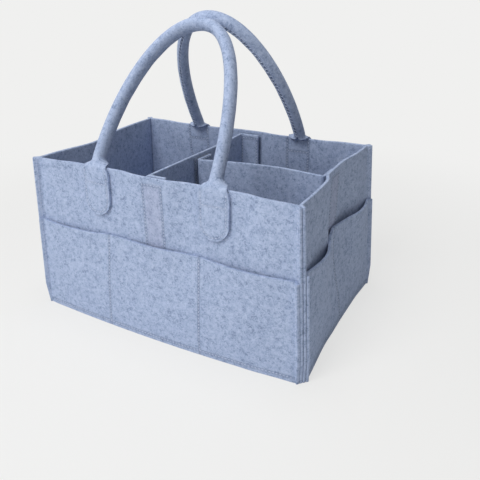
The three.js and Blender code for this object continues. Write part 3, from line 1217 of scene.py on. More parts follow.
@dataclass
class FeltBox:
    """The felt box: floor, four walls with flanges turned out at the corners, and four pocket panels."""

    finishes: Finishes
    step: float = 0.0014
    row_step: float = 0.002
    flange_steps: int = 4
    floor_step: float = 0.004
    wave: float = 0.0007
    wave_phase: float = 0.4
    still_from: float = 0.8  # share of half a wall's run, past which its waves die out
    pressed_edge: float = 0.003
    hem_reach: float = 0.98  # share of half the run that the hem's seam covers
    fin_seam: float = 1.45  # station of the corner seams, from fold 1 to raw edge 2
    fin_seam_foot: float = 0.03
    fin_slope_share: float = 0.95  # of that station, for the flange's slope

    def stations(self, plan: WallPlan) -> Points:
        """Grid stations across a wall, with its two flanges.

        Args:
            plan: The wall's plan.

        Returns:
            Stations from -2 to 2, in order.
        """
        flange = np.linspace(1, 2, self.flange_steps + 1)[1:]
        middle = spaced(-1, 1, self.step / plan.along)
        return np.concatenate([-flange[::-1], middle, flange])

    def swell(self, plan: WallPlan, a: Points, z: Points) -> Points:
        """The waviness of a wall, none at its corners and where something holds it.

        Args:
            plan: The wall's plan.
            a: Places along the wall.
            z: Heights.

        Returns:
            The distances outwards.
        """
        free = 1 - smoothstep(np.abs(a) / plan.half_run(z, 0.0), self.still_from, 1.0)
        held = np.max([hold.grip(a) for hold in plan.holds], axis=0)
        return self.wave * free * (1 - held) * ripple(a, z, plan.side.turn + self.wave_phase)

    def sewn(self, plan: WallPlan, a: Points, z: Points) -> Points:
        """How far a place on a wall belongs to a seam.

        Args:
            plan: The wall's plan.
            a: Places along the wall.
            z: Heights.

        Returns:
            1 on the seams through the wall, falling to 0 beside them.
        """
        gaps = [HANDLE.seam_distance(a - middle, z) for middle in plan.tabs]
        gaps += [] if plan.tape is None else [np.abs(TapeSeam(plan.tape).beyond(a, z))]
        return valley(np.min(gaps, axis=0), SEWING.half_width) if gaps else np.zeros_like(a)

    def wall(self, plan: WallPlan) -> ClothSheet:
        """The sheet of one wall.

        Args:
            plan: The wall's plan.

        Returns:
            The sheet, over stations and heights.
        """

        def place(station: Points, z: Points) -> Points:
            """Points of the wall's middle, waving and drawn in at its seams."""
            a = plan.along_at(station, z, 0.0)
            return plan.point(station, z, self.swell(plan, a, z) - SEWING.sink * self.sewn(plan, a, z))

        def marks(station: Points, z: Points) -> dict[str, Points]:
            """Where the wall is sewn, for painted shade along its seams, and where it is pressed over its
            tape.
            """
            a = plan.along_at(station, z, 0.0)
            found = {Mark.SEAM.value: self.sewn(plan, a, z)}
            if plan.tape is not None:
                beyond = TapeSeam(plan.tape).beyond(a, z)
                found[Mark.PRESSED.value] = 1 - smoothstep(beyond, -self.pressed_edge, 0.0)
            return found

        rows = spaced(0.0, BOX.height, self.row_step)
        return ClothSheet(f"felt_{plan.side.word}_wall", self.stations(plan), rows, place, marks=marks)

    def pocket(self, pocket: Pocket) -> ClothSheet:
        """The sheet of one pocket panel.

        Args:
            pocket: The panel's shape.

        Returns:
            The sheet, over stations and heights.
        """
        plan = pocket.plan

        def marks(station: Points, z: Points) -> dict[str, Points]:
            """Where the panel is sewn to the wall: the seams' sink, and painted shade along them."""
            sewn = valley(pocket.seam_distance(station, z), SEWING.half_width)
            return {Mark.SEAM.value: np.where(np.abs(station) < 1, sewn, 0.0)}

        def place(station: Points, height: Points) -> Points:
            """Points of the panel's middle, gaping, waving and drawn in at its seams."""
            z = pocket.lowered(station, height)
            a = plan.along_at(station, z, STOCK.layer)
            sink = SEWING.sink * marks(station, z)[Mark.SEAM.value]
            return plan.point(station, z, pocket.offset(station, z) + self.swell(plan, a, z) - sink)

        rows = spaced(0.0, pocket.height, self.row_step)
        return ClothSheet(f"felt_{plan.side.word}_pocket", self.stations(plan), rows, place, marks=marks)

    def floor(self) -> ClothSheet:
        """The sheet of the floor, whose edges bow as the walls do."""
        half_x = BOX.corner_x - STOCK.felt / 2 + BOX.floor_tuck
        half_y = BOX.corner_y - STOCK.felt / 2 + BOX.floor_tuck

        def place(p: Points, q: Points) -> Points:
            """Points of the floor's middle, from shares of half its length and half its depth."""
            x = p * (half_x + BOX.short_belly * (1 - q * q))
            y = q * (half_y + BOX.long_belly * (1 - p * p))
            return np.stack([x, y, np.full_like(x, STOCK.felt / 2)], axis=-1)

        across, up = (spaced(-1, 1, self.floor_step / half) for half in (half_x, half_y))
        return ClothSheet("felt_floor", across, up, place)

    def tape_seams(self, plan: WallPlan) -> list[Seam]:
        """The seam that holds a wall's tape, on the wall's outer face.

        Args:
            plan: The wall's plan.

        Returns:
            The one seam, or none on a wall with no tape.
        """
        if plan.tape is None:
            return []
        a, z = TapeSeam(plan.tape).line()
        return [plan.face(a, z, np.full_like(a, STOCK.felt / 2 - SEWING.sink), Face.OUTER)]

    def pocket_seams(self, pocket: Pocket) -> list[Seam]:
        """Seam lines between the pockets of a side, and along the hem.

        Args:
            pocket: The side's pocket panel.

        Returns:
            The seams, on the panel's outer face.
        """
        plan = pocket.plan
        z = spaced(pocket.hem, pocket.height - SEWING.end, SEWING.step)
        lines = [(np.full_like(z, seam), z) for seam in pocket.seams[1:-1]]
        across = spaced(-self.hem_reach, self.hem_reach, SEWING.step / plan.along)
        lines.append((across, np.full_like(across, pocket.hem)))
        seams = []
        for station, height in lines:
            a = plan.along_at(station, height, STOCK.layer)
            out = pocket.offset(station, height) + self.swell(plan, a, height)
            seams.append(plan.face(a, height, out + STOCK.felt / 2 - SEWING.sink, Face.OUTER))
        return seams

    def corner_seams(self, pocket: Pocket) -> list[Seam]:
        """Seam lines through the flanges at both ends of a side.

        Args:
            pocket: The side's pocket panel, which is sewn in as far up as it reaches.

        Returns:
            The seams, on the flanges' outer faces.
        """
        plan = pocket.plan
        stretches = (self.fin_seam_foot, pocket.height, 1), (pocket.height, BOX.height, 0)
        seams = []
        for end in (-1, 1):
            for low, high, layers in stretches:
                z = spaced(low + SEWING.end, high - SEWING.end, SEWING.step)
                out = np.full_like(z, layers * STOCK.layer + STOCK.felt / 2)
                station = np.full_like(z, end * self.fin_seam)
                near = plan.point(station * self.fin_slope_share, z, out)
                here = plan.point(station, z, out)
                along = np.gradient(here, axis=0)
                seams.append((here, unit(np.cross((here - near) * end, along))))
        return seams

    def build(self) -> list[bpy.types.Object]:
        """Makes the box and puts every piece on its body."""
        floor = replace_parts(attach(self.floor().build(self.finishes.felt), Body.BOX.value), "base_panel")
        made = [floor]
        for side, plan in PLANS.items():
            pocket = Pocket.on(side)
            for sheet, height in ((self.wall(plan), BOX.height), (self.pocket(pocket), pocket.height)):
                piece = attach(sheet.build(self.finishes.felt), Body.BOX.value)
                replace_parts(piece, sheet.name.removeprefix("felt_"))
                made.append(piece)
            seams = self.tape_seams(plan) + self.pocket_seams(pocket) + self.corner_seams(pocket)
            stitches = LOCKSTITCH.sew(f"{side.word}_seam_stitches", seams, self.finishes.thread)
            made.append(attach(stitches, Body.BOX.value))
        return made


@dataclass
class RolledHandle:
    """One handle: a felt strip that is sewn on flat at both ends and rolled round a cord between them."""

    side: Side
    body: Body
    finishes: Finishes
    columns: int = 25
    row_step: float = 0.0017
    end_rows: int = 11
    end_from_deg: float = 10.0  # where a tab's round end starts, from straight down
    end_samples: int = 40
    arch_samples: int = 1600
    tab_drop: float = 0.0005  # from the rim to a tab's last row
    seam_shade_share: float = 0.4  # of the painted seam shade on the strip, less dark than on the walls
    least_curl: float = 0.001  # keeps the radius of a flat strip finite
    uneven: float = 0.015
    uneven_waves: tuple[float, float] = (210.0, 67.0)  # in radians per metre
    uneven_phase: float = 1.0
    closing_width: float = 0.08  # of the painted shade where the strip's edges meet, as a share of half its width
    closing_start: float = 1.2  # of the stitches there, in neck lengths
    bend_below: float = 0.006  # how far below the hinge the strip starts to bend
    bend_above: float = 0.007
    length_step: float = 0.002
    soften_rows: int = 5
    soften_times: int = 3
    cord_sides: int = 18
    cord_strands: int = 3
    cord_lay: float = 0.022
    cord_step: float = 0.0025
    cord_groove: float = 0.1  # between two strands, as a share of the cord's radius

    @property
    def stance(self) -> HandleStance:
        """How the handle stands."""
        return STANCES[self.side]

    @property
    def hinge(self) -> tuple[float, float]:
        """How far out and how high the handle swings."""
        joint = next(j for j in frame["joints"] if j["child"] == self.body.value)
        return abs(joint["pos_m"][1]), joint["pos_m"][2]

    @property
    def lean(self) -> float:
        """How far the handle leans in until it meets the other one, in radians."""
        depth = STOCK.felt / 2 + HANDLE.half_depth
        room = self.hinge[0] - depth - STOCK.gap / 2
        height = self.stance.height
        return math.asin(room / math.hypot(height, depth)) - math.atan2(depth, height)

    @property
    def neck_start(self) -> float:
        """Height on the arch where the strip leaves its tabs."""
        return (STOCK.gap + STOCK.felt * math.sin(self.lean)) / math.cos(self.lean)

    def curled(self, y: Points) -> Points:
        """How far the strip is curled up at a height on the arch, from 0 to 1."""
        return smoothstep(y, self.neck_start, self.neck_start + HANDLE.neck_length)

    def placed(self, local: Points) -> Points:
        """Points of the arch's own plane, leant in, set on the wall and turned to the handle's side.

        Args:
            local: Points along the wall, up the arch and out of its plane, from the hinge.

        Returns:
            The points in the frame.
        """
        out, up = self.hinge
        s, c = math.sin(self.lean), math.cos(self.lean)
        x, y, z = local[..., 0], local[..., 1], local[..., 2]
        return turned(np.stack([x, y * s - z * c - out, y * c + z * s + up], axis=-1), self.side.turn)

    def arch(self, foot: float, step: float) -> tuple[Points, Points]:
        """The arch in its own plane, from the right leg to the left one.

        Args:
            foot: The height where both legs start.
            step: The distance between points.

        Returns:
            The points of the line and the ways out of the arch there.
        """
        power = 2 / HANDLE.arch_power
        start = math.asin((foot / self.stance.height) ** (1 / power))
        turn = np.linspace(start, math.pi - start, self.arch_samples)
        rise = np.sin(turn) ** power
        reach = HANDLE.span / 2 * np.sign(np.cos(turn)) * np.abs(np.cos(turn)) ** power
        x = self.stance.tabs_at + reach + self.stance.skew * rise**2
        line = np.stack([x, self.stance.height * rise, np.zeros_like(x)], axis=1)
        along = np.gradient(line, axis=0)
        outward = unit(np.stack([along[:, 1], -along[:, 0], along[:, 2]], axis=1))
        line[:, 0] += self.stance.drift * self.curled(line[:, 1])
        run = lengths_along(line)
        at = spaced(0.0, run[-1], step)
        return sampled(line, run, at), unit(sampled(outward, run, at))

    def tab_rows(self) -> tuple[Points, Points]:
        """Heights of a tab's rows, from its round end up, and half its width at each."""
        radius = HANDLE.strip_width / 2
        turns = np.radians(np.linspace(self.end_from_deg, 90, self.end_rows))
        low = HANDLE.tab_foot + radius * (1 - np.cos(turns))
        straight = spaced(low[-1], BOX.height - self.tab_drop, self.row_step)
        heights = np.concatenate([low, straight[1:]])
        below = np.maximum(0.0, 1 - (heights - HANDLE.tab_foot) / radius)
        return heights, radius * np.sqrt(1 - below * below) * HANDLE.narrowed(heights - BOX.height)

    def tab(self, end: int) -> tuple[Points, Points]:
        """One tab of the strip.

        Args:
            end: 1 for the right tab and -1 for the left one.

        Returns:
            Its grid, in rows from its round end up, and how far each place belongs to a seam.
        """
        heights, half = self.tab_rows()
        x = half[:, None] * np.linspace(-1, 1, self.columns)[None, :]
        z = np.repeat(heights[:, None], self.columns, axis=1)
        sewn = valley(HANDLE.seam_distance(x, z), SEWING.half_width)
        a = self.stance.tabs_at + end * (HANDLE.span / 2 + x)
        return PLANS[self.side].at(a, z, STOCK.layer - SEWING.sink * sewn), sewn

    def tube(self) -> tuple[Points, Points]:
        """The grid of the rolled stretch, from the right leg to the left one, and painted shade along its
        closing seam.
        """
        line, outward = self.arch(self.neck_start, self.row_step)
        curled = np.maximum(self.curled(line[:, 1]), self.least_curl)[:, None]
        run = lengths_along(line)[:, None]
        short, long = self.uneven_waves
        even = 1 + self.uneven * np.sin(run * short) * np.sin(run * long + self.uneven_phase)
        radius = HANDLE.tube_radius * even / curled
        share = np.linspace(-1, 1, self.columns)[None, :]
        angle = HANDLE.strip_width / 2 * share / radius
        width = (1 + (HANDLE.width_share - 1) * curled) * HANDLE.narrowed(line[:, 1])[:, None]
        depth = 1 + (HANDLE.depth_share - 1) * curled
        across = (width * radius * np.sin(angle))[..., None]
        behind = (STOCK.felt / 2 + depth * radius * (1 - np.cos(angle)))[..., None]
        # painted shade along the line where the strip's edges meet
        seam = curled * valley(1 - np.abs(share), self.closing_width)
        return self.placed(line[:, None, :] + outward[:, None, :] * across - Z_AXIS * behind), seam

    def strip(self) -> ClothSheet:
        """The whole strip as one sheet."""
        (right, right_sewn), (tube, tube_sewn), (left, left_sewn) = self.tab(1), self.tube(), self.tab(-1)
        grid = np.concatenate([right, tube, left[::-1]])
        sewn = np.concatenate([right_sewn, tube_sewn, left_sewn[::-1]])
        for _ in range(self.soften_times):
            softer = grid.copy()
            softer[1:-1] = (grid[:-2] + 2 * grid[1:-1] + grid[2:]) / 4
            for join in (len(right), len(grid) - len(left)):
                rows = slice(join - self.soften_rows, join + self.soften_rows)
                grid[rows] = softer[rows]

        def place(p: Points, q: Points) -> Points:
            """Points of the strip's grid, by column and row."""
            return grid[np.rint(q).astype(int), np.rint(p).astype(int)]

        def marks(p: Points, q: Points) -> dict[str, Points]:
            """Painted shade along the strip's seams, by column and row."""
            found = sewn[np.rint(q).astype(int), np.rint(p).astype(int)]
            return {Mark.SEAM.value: self.seam_shade_share * found}

        name = f"{self.side.word}_handle_strip"
        return ClothSheet(name, np.arange(self.columns), np.arange(len(grid)), place, marks=marks)

    def strip_length(self) -> float:
        """The strip's cut length."""
        arch, _ = self.arch(self.neck_start, self.length_step)
        return 2 * HANDLE.tab_length + lengths_along(arch)[-1]

    def cord(self) -> bpy.types.Object:
        """The filler cord: twisted strands inside the rolled felt."""
        line, outward = self.arch(self.neck_start + HANDLE.neck_length, self.cord_step)
        run = lengths_along(line)
        room = STOCK.felt / 2 + HANDLE.core_clearance
        half_width = HANDLE.tube_radius * HANDLE.width_share - room
        half_depth = HANDLE.half_depth - room
        rows = len(line)
        deselect()
        bpy.ops.mesh.primitive_grid_add(x_subdivisions=self.cord_sides, y_subdivisions=rows - 1, size=2)
        piece = bpy.context.object
        piece.name = f"{self.side.word}_handle_cord"
        grid = get_points(piece)
        turn = math.pi * grid[:, 0]
        row = np.rint((grid[:, 1] + 1) / 2 * (rows - 1)).astype(int)
        lay = turn - 2 * math.pi * run[row] / self.cord_lay
        lobe = 1 - self.cord_groove + self.cord_groove * np.abs(np.cos(self.cord_strands * lay / 2))
        reach = outward[row] * (half_width * lobe * np.cos(turn))[:, None]
        reach = reach + Z_AXIS * (half_depth * lobe * np.sin(turn))[:, None]
        middle = line[row] - Z_AXIS * (STOCK.felt / 2 + HANDLE.half_depth)
        set_points(piece, self.placed(middle + reach))
        closed_tube(piece)
        return finished(piece, self.finishes.cord)

    def tab_seams(self) -> list[Seam]:
        """Seam lines of both tabs, on the tabs' faces and through to the inside of the wall."""
        plan = PLANS[self.side]
        radius = HANDLE.strip_width / 2 - HANDLE.stitch_inset
        middle = HANDLE.tab_foot + HANDLE.strip_width / 2
        turn = np.linspace(-math.pi / 2, math.pi / 2, self.end_samples)
        straight = spaced(middle, BOX.height - HANDLE.stitch_drop, SEWING.step)
        edge = np.full_like(straight, radius)
        x = np.concatenate([-edge, radius * np.sin(turn), edge])
        z = np.concatenate([straight[::-1], middle - radius * np.cos(turn), straight])
        cross_x = spaced(-radius, radius, SEWING.step)
        cross_z = np.full_like(cross_x, BOX.height - HANDLE.cross_line_drop)
        seams = []
        for tab in plan.tabs:
            for a, height in ((tab + x, z), (tab + cross_x, cross_z)):
                on_tab = np.full_like(a, STOCK.layer + STOCK.felt / 2 - SEWING.sink)
                in_wall = np.full_like(a, -STOCK.felt / 2 - SEWING.sink)
                seams.append(plan.face(a, height, on_tab, Face.OUTER))
                seams.append(plan.face(a, height, in_wall, Face.INNER))
        return seams

    def tube_seam(self) -> Seam:
        """The line along the tube's inner side where the strip's edges meet."""
        line, _ = self.arch(self.neck_start + self.closing_start * HANDLE.neck_length, self.row_step)
        points = self.placed(line - Z_AXIS * (STOCK.felt + 2 * HANDLE.half_depth))
        return points, unit(self.placed(line - Z_AXIS) - self.placed(line))

    def build(self) -> list[bpy.types.Object]:
        """Makes the handle and puts its cord and stitches on their bodies; the strip is left unattached."""
        word, thread = self.side.word, self.finishes.thread
        strip = self.strip().build(self.finishes.felt)
        out, up = self.hinge
        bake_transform(strip)
        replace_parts(strip, f"{word}_handle_sleeve", f"{word}_left_tab", f"{word}_right_tab")
        cut = (HANDLE.strip_width, self.strip_length())
        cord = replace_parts(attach(self.cord(), self.body.value), f"{word}_handle_core")
        stitches = LOCKSTITCH.sew(f"{word}_tab_stitches", self.tab_seams(), thread)
        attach(stitches, Body.BOX.value)
        whip = WHIPSTITCH.sew(f"{word}_handle_seam_stitches", [self.tube_seam()], thread)
        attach(whip, self.body.value)
        return [strip, cord, stitches, whip]


def rounded(path: Points, radius: float, step: float) -> Points:
    """A path in plan with its corners eased and its ends kept.

    Args:
        path: The path's points.
        radius: How far from a corner the easing reaches.
        step: The distance between points of the new path.

    Returns:
        The eased path, with its points an even step apart.
    """
    line = respaced(path, step / 2)
    reach = max(1, round(radius / (step / 2)))
    kernel = np.hanning(2 * reach + 3)[1:-1]
    kernel /= kernel.sum()
    before = 2 * line[0] - line[reach:0:-1]
    after = 2 * line[-1] - line[-2 : -reach - 2 : -1]
    padded = np.concatenate([before, line, after])
    eased = np.stack([np.convolve(padded[:, k], kernel, mode="valid") for k in range(2)], axis=1)
    return respaced(eased, step)


@dataclass
class UprightFelt:
    """A felt or tape sheet that stands upright over a path in plan, with the seams of its tapes."""

    name: str
    path: Points
    foot: float
    top: float
    row_step: float = 0.002
    wave: float = 0.0
    wave_phase: float = 1.1
    still_end: float = 0.02  # from each end, where a tab holds the sheet
    wave_from: float = 0.05
    seams: tuple[TapeSeam, ...] = ()
    first_tab_rise: float = 0.0

    def risen(self, p: Points, q: Points) -> Points:
        """Heights on the sheet, with the first folded tab drawn up a little at its top.

        Args:
            p: Lengths along the path.
            q: Heights before that.

        Returns:
            The heights.
        """
        in_tab = 1 - smoothstep(p, DIVIDER.tab - DIVIDER.fold_radius, DIVIDER.tab)
        near_top = smoothstep(q, self.top - DIVIDER.tab, self.top)
        return q + self.first_tab_rise * in_tab * near_top

    def sheet(self) -> ClothSheet:
        """The sheet, with its coordinates in metres along the path and up."""
        run = lengths_along(self.path)

        def place(p: Points, q: Points) -> Points:
            """Points of the sheet's middle, waving between its tabs."""
            x, y = (np.interp(p, run, self.path[:, k]) for k in range(2))
            free = smoothstep(np.minimum(p, run[-1] - p), self.still_end, self.wave_from)
            swell = self.wave * ripple(x, y + q, self.wave_phase) * free
            return np.stack([x + swell, y + swell, self.risen(p, q)], axis=-1)

        def marks(p: Points, q: Points) -> dict[str, Points]:
            """Painted shade where the sheet is sewn to its tapes."""
            gaps = [np.abs(seam.beyond(p, q)) for seam in self.seams]
            return {Mark.SEAM.value: valley(np.min(gaps, axis=0), SEWING.half_width)} if gaps else {}

        up = spaced(self.foot, self.top, self.row_step)
        return ClothSheet(self.name, run, up, place, marks=marks)


@dataclass
class Dividers:
    """The main divider across the box and the cross divider to the right wall, with their folded tabs."""

    finishes: Finishes
    step: float = 0.0016
    plan_step: float = 0.002  # along the tabs, before the folds are eased
    samples: int = 80
    wave: float = 0.0006

    @property
    def main_end(self) -> float:
        """How far from the middle the main divider's folds are."""
        at, top = np.array(DIVIDER.main_front_x), np.array(BOX.height)
        return float(PLANS[Side.FRONT].surface(at, top, -STOCK.tape_stack))

    def main_line(self, y: Points) -> Points:
        """The main divider's run across the box.

        Args:
            y: Places across the box, from front to back.

        Returns:
            How far to the right the divider's middle is there.
        """
        share = (y / self.main_end + 1) / 2
        bow = DIVIDER.main_bow * valley(y - DIVIDER.main_bow_y, DIVIDER.main_bow_spread)
        held = 1 - np.abs(y / self.main_end) ** DIVIDER.end_hold
        return DIVIDER.main_front_x + (DIVIDER.main_back_x - DIVIDER.main_front_x) * share + bow * held

    def tab_line(self, side: Side, fold: float, free_end: float) -> Points:
        """A tab's run beside a wall's rim in plan.

        Args:
            side: The wall's side.
            fold: Where the tab's fold is, along the wall.
            free_end: Where its free end is.

        Returns:
            Points in plan, from the fold to the free end.
        """
        a = spaced(fold, free_end, self.plan_step)
        z = np.full_like(a, BOX.height)
        return PLANS[side].at(a, z, np.full_like(a, -STOCK.tape_stack))[:, :2]

    def main_path(self) -> Points:
        """The main divider in plan: front tab, run and back tab."""
        front = self.tab_line(Side.FRONT, DIVIDER.main_front_x, DIVIDER.main_front_x + DIVIDER.tab)
        back = self.tab_line(Side.BACK, -DIVIDER.main_back_x, -DIVIDER.main_back_x - DIVIDER.tab)
        y = np.linspace(-self.main_end, self.main_end, self.samples)[1:-1]
        path = np.concatenate([front[::-1], np.stack([self.main_line(y), y], axis=1), back])
        return rounded(path, DIVIDER.fold_radius, self.step)

    def beside_main(self, offset: float) -> Points:
        """A strip's run beside the main divider, from the end of the cross divider's tab to its fold."""
        y = spaced(DIVIDER.cross_left_y + DIVIDER.tab, DIVIDER.cross_left_y, self.plan_step)
        return np.stack([self.main_line(y) + offset, y], axis=1)

    def cross_path(self) -> Points:
        """The cross divider in plan: tab on the main divider, run and tab on the right wall."""
        left = self.beside_main(STOCK.tape_stack)
        right = self.tab_line(Side.RIGHT, DIVIDER.cross_right_y, DIVIDER.cross_right_y + DIVIDER.tab)
        u = np.linspace(0, 1, self.samples)[1:-1]
        x = left[-1, 0] + (right[0, 0] - left[-1, 0]) * u
        y = DIVIDER.cross_left_y + (DIVIDER.cross_right_y - DIVIDER.cross_left_y) * u
        y = y + DIVIDER.cross_bow * np.sin(math.pi * u)
        path = np.concatenate([left, np.stack([x, y], axis=1), right])
        return rounded(path, DIVIDER.fold_radius, self.step)

    def panel(
        self, body: Body, path: Points, drop: float, seams: dict[TapeSeam, Face], rise: float = 0.0
    ) -> list[bpy.types.Object]:
        """One divider's felt and the stitches of its tapes, on its body.

        Args:
            body: The divider's body.
            path: Its run in plan.
            drop: How far its upper edge is below the rim.
            seams: Its tapes' seams, each with the bare face of the felt there.
            rise: How far its first tab is drawn up.

        Returns:
            The felt and the stitches.
        """
        top = BOX.height - drop
        name = f"felt_{body.value}"
        felt = UprightFelt(
            name, path, DIVIDER.foot, top, wave=self.wave, seams=tuple(seams), first_tab_rise=rise
        )
        sheet = felt.sheet()
        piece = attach(sheet.build(self.finishes.felt), body.value)
        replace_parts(piece, body.value)
        cut = (lengths_along(path)[-1], top - DIVIDER.foot)
        lines = [sheet.face_at(*seam.line(), face) for seam, face in seams.items()]
        stitches = LOCKSTITCH.sew(f"{body.value}_stitches", lines, self.finishes.thread)
        return [piece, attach(stitches, body.value)]

    def build(self) -> list[bpy.types.Object]:
        """Makes both dividers."""
        main, cross = self.main_path(), self.cross_path()
        main_run, cross_run = lengths_along(main), lengths_along(cross)
        half = DIVIDER.tab / 2
        middle = np.abs(main[:, 1] - DIVIDER.cross_left_y - half) + np.abs(main[:, 0] - DIVIDER.main_back_x)
        main_seams = {
            TapeSeam(half): Face.OUTER,
            TapeSeam(float(main_run[np.argmin(middle)])): Face.INNER,
            TapeSeam(main_run[-1] - half): Face.OUTER,
        }
        cross_seams = {TapeSeam(half): Face.INNER, TapeSeam(cross_run[-1] - half): Face.INNER}
        return [
            *self.panel(Body.MAIN_DIVIDER, main, DIVIDER.main_drop, main_seams, DIVIDER.front_tab_rise),
            *self.panel(Body.CROSS_DIVIDER, cross, DIVIDER.cross_drop, cross_seams),
        ]


@dataclass(frozen=True)
class Pile:
    """The loops or hooks of a tape: one small bow of nylon, repeated in staggered rows."""

    slot: Slot
    face: Face
    is_open: bool  # a hook is a bow that is cut through on one side
    turn_spread: float  # how far single bows turn out of the row, in radians
    radius: float = 0.0005
    strand: float = 0.00013
    pitch: float = 0.002
    inset: float = 0.0026  # room for the seam along the tape's edges
    cut_at: float = 0.4  # height of a hook's tip, in radii above the bow's middle
    seed: int = 7

    def bow(self) -> SmallShape:
        """One loop or hook, standing on the tape's ground."""
        deselect()
        bpy.ops.mesh.primitive_torus_add(
            major_segments=8, minor_segments=4, major_radius=self.radius, minor_radius=self.strand
        )
        piece = bpy.context.object
        bpy.ops.object.mode_set(mode="EDIT")
        bpy.ops.transform.rotate(value=math.pi / 2, orient_axis="X", center_override=(0.0, 0.0, 0.0))
        bpy.ops.mesh.select_mode(type="FACE")
        bpy.ops.mesh.select_all(action="DESELECT")
        bpy.ops.object.mode_set(mode="OBJECT")
        cut_height = self.cut_at * self.radius if self.is_open else -self.radius
        for face in piece.data.polygons:
            face.select = face.center.x < 0 and face.center.z < cut_height
        bpy.ops.object.mode_set(mode="EDIT")
        bpy.ops.mesh.delete(type="FACE")
        bpy.ops.mesh.select_all(action="SELECT")
        bpy.ops.mesh.fill_holes(sides=0)
        bpy.ops.mesh.select_mode(type="VERT")
        bpy.ops.object.mode_set(mode="OBJECT")
        return SmallShape.taken_from(piece)

    def cover(self, name: str, sheet: ClothSheet, material: bpy.types.Material) -> bpy.types.Object:
        """Covers one face of a tape, but for the seam along its edges.

        Args:
            name: The piece's name.
            sheet: The tape's ground.
            material: The nylon.

        Returns:
            All the bows of that tape, as one piece.
        """
        edges = (sheet.across[0], sheet.across[-1]), (sheet.up[0], sheet.up[-1])
        p, q = np.meshgrid(
            *(spaced(low + self.inset, high - self.inset, self.pitch) for low, high in edges)
        )
        p[::2] += self.pitch / 2
        centres, normals = sheet.face_at(p[:, :-1].ravel(), q[:, :-1].ravel(), self.face)
        chance = np.random.default_rng(self.seed)
        turn = chance.uniform(-self.turn_spread, self.turn_spread, len(centres))[:, None]
        level = unit(np.cross(Z_AXIS, normals))
        along = level * np.cos(turn) + np.cross(normals, level) * np.sin(turn)
        return self.bow().repeated(name, centres, along, normals, material)


LOOPS = Pile(Slot.LOOPS, Face.INNER, is_open=False, turn_spread=1.4)
HOOKS = Pile(Slot.HOOKS, Face.OUTER, is_open=True, turn_spread=0.2)


@dataclass
class Tapes:
    """The loop tapes sewn to the walls and the main divider, and the hook tapes on the dividers' tabs."""

    finishes: Finishes
    step: float = 0.0015
    edge_round: float = 0.0003

    def tape(
        self, node: str, place: Place, across: Points, body: Body, pile: Pile
    ) -> list[bpy.types.Object]:
        """One tape on its body: its ground, its pile and the stitches round it.

        Args:
            node: The CAD node that the tape replaces.
            place: Turns places across the tape and heights into points.
            across: Places across the tape.
            body: The body that the tape is sewn to.
            pile: Its loops or hooks.

        Returns:
            The three pieces.
        """
        finish = self.finishes.loops if pile is LOOPS else self.finishes.hooks
        up = spaced(BOX.tape_foot, BOX.tape_top, self.step)
        sheet = ClothSheet(f"{node}_ground", across, up, place, STOCK.tape_base, self.edge_round)
        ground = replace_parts(sheet.build(finish), node)
        seam = sheet.face_at(*TapeSeam((across[0] + across[-1]) / 2).line(), pile.face)
        stitches = TAPE_STITCH.sew(f"{node}_stitches", [seam], self.finishes.thread)
        pieces = [ground, pile.cover(f"{node}_pile", sheet, finish), stitches]
        for piece in pieces:
            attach(piece, body.value)
        return pieces

    def on_wall(self, plan: WallPlan, offset: float, upright: bool) -> Place:
        """Places a tape along a wall.

        Args:
            plan: The wall's plan.
            offset: From the middle of the wall in to the middle of the tape.
            upright: Whether it stands upright as at the rim, or follows the wall's slope.

        Returns:
            What turns places along the wall and heights into points.
        """

        def place(p: Points, q: Points) -> Points:
            """Points of the tape's middle."""
            level = np.full_like(q, BOX.height) if upright else q
            points = plan.at(p, level, np.full_like(p, -offset))
            points[..., 2] = q
            return points

        return place

    def build(self) -> list[bpy.types.Object]:
        """Makes every tape."""
        half = BOX.tape_width / 2
        made = []
        for side, body, name in (
            (Side.FRONT, Body.MAIN_DIVIDER, "main_divider_front"),
            (Side.BACK, Body.MAIN_DIVIDER, "main_divider_back"),
            (Side.RIGHT, Body.CROSS_DIVIDER, "cross_divider_right"),
        ):
            plan = PLANS[side]
            across = spaced(plan.tape - half, plan.tape + half, self.step)
            loops = self.on_wall(plan, STOCK.loop_offset, False)
            hooks = self.on_wall(plan, STOCK.hook_offset, True)
            made += self.tape(f"{side.word}_wall_loop_tape", loops, across, Body.BOX, LOOPS)
            made += self.tape(f"{name}_hook_tape", hooks, across, body, HOOKS)
        dividers = Dividers(self.finishes)
        for node, offset, body, pile in (
            ("main_divider_loop_tape", STOCK.loop_offset, Body.MAIN_DIVIDER, LOOPS),
            ("cross_divider_left_hook_tape", STOCK.hook_offset, Body.CROSS_DIVIDER, HOOKS),
        ):
            path = respaced(dividers.beside_main(offset), self.step)
            sheet = UprightFelt(node, path, BOX.tape_foot, BOX.tape_top).sheet()
            made += self.tape(node, sheet.place, sheet.across, body, pile)
        return made


@dataclass(frozen=True)
class Lamp:
    """A soft square light that points at a place on the caddy."""

    name: str
    place: tuple[float, float, float]
    target: tuple[float, float, float]
    power: float
    size: float

    def build(self) -> None:
        """Hangs the lamp."""
        light = bpy.data.lights.new(self.name, "AREA")
        light.energy = self.power
        light.size = self.size
        lamp = bpy.data.objects.new(self.name, light)
        lamp.location = self.place
        x, y, z = np.subtract(self.target, self.place)
        lamp.rotation_euler = Euler(
            (math.pi / 2 + math.atan2(z, math.hypot(x, y)), 0.0, math.atan2(-x, y))
        )
        bpy.context.scene.collection.objects.link(lamp)


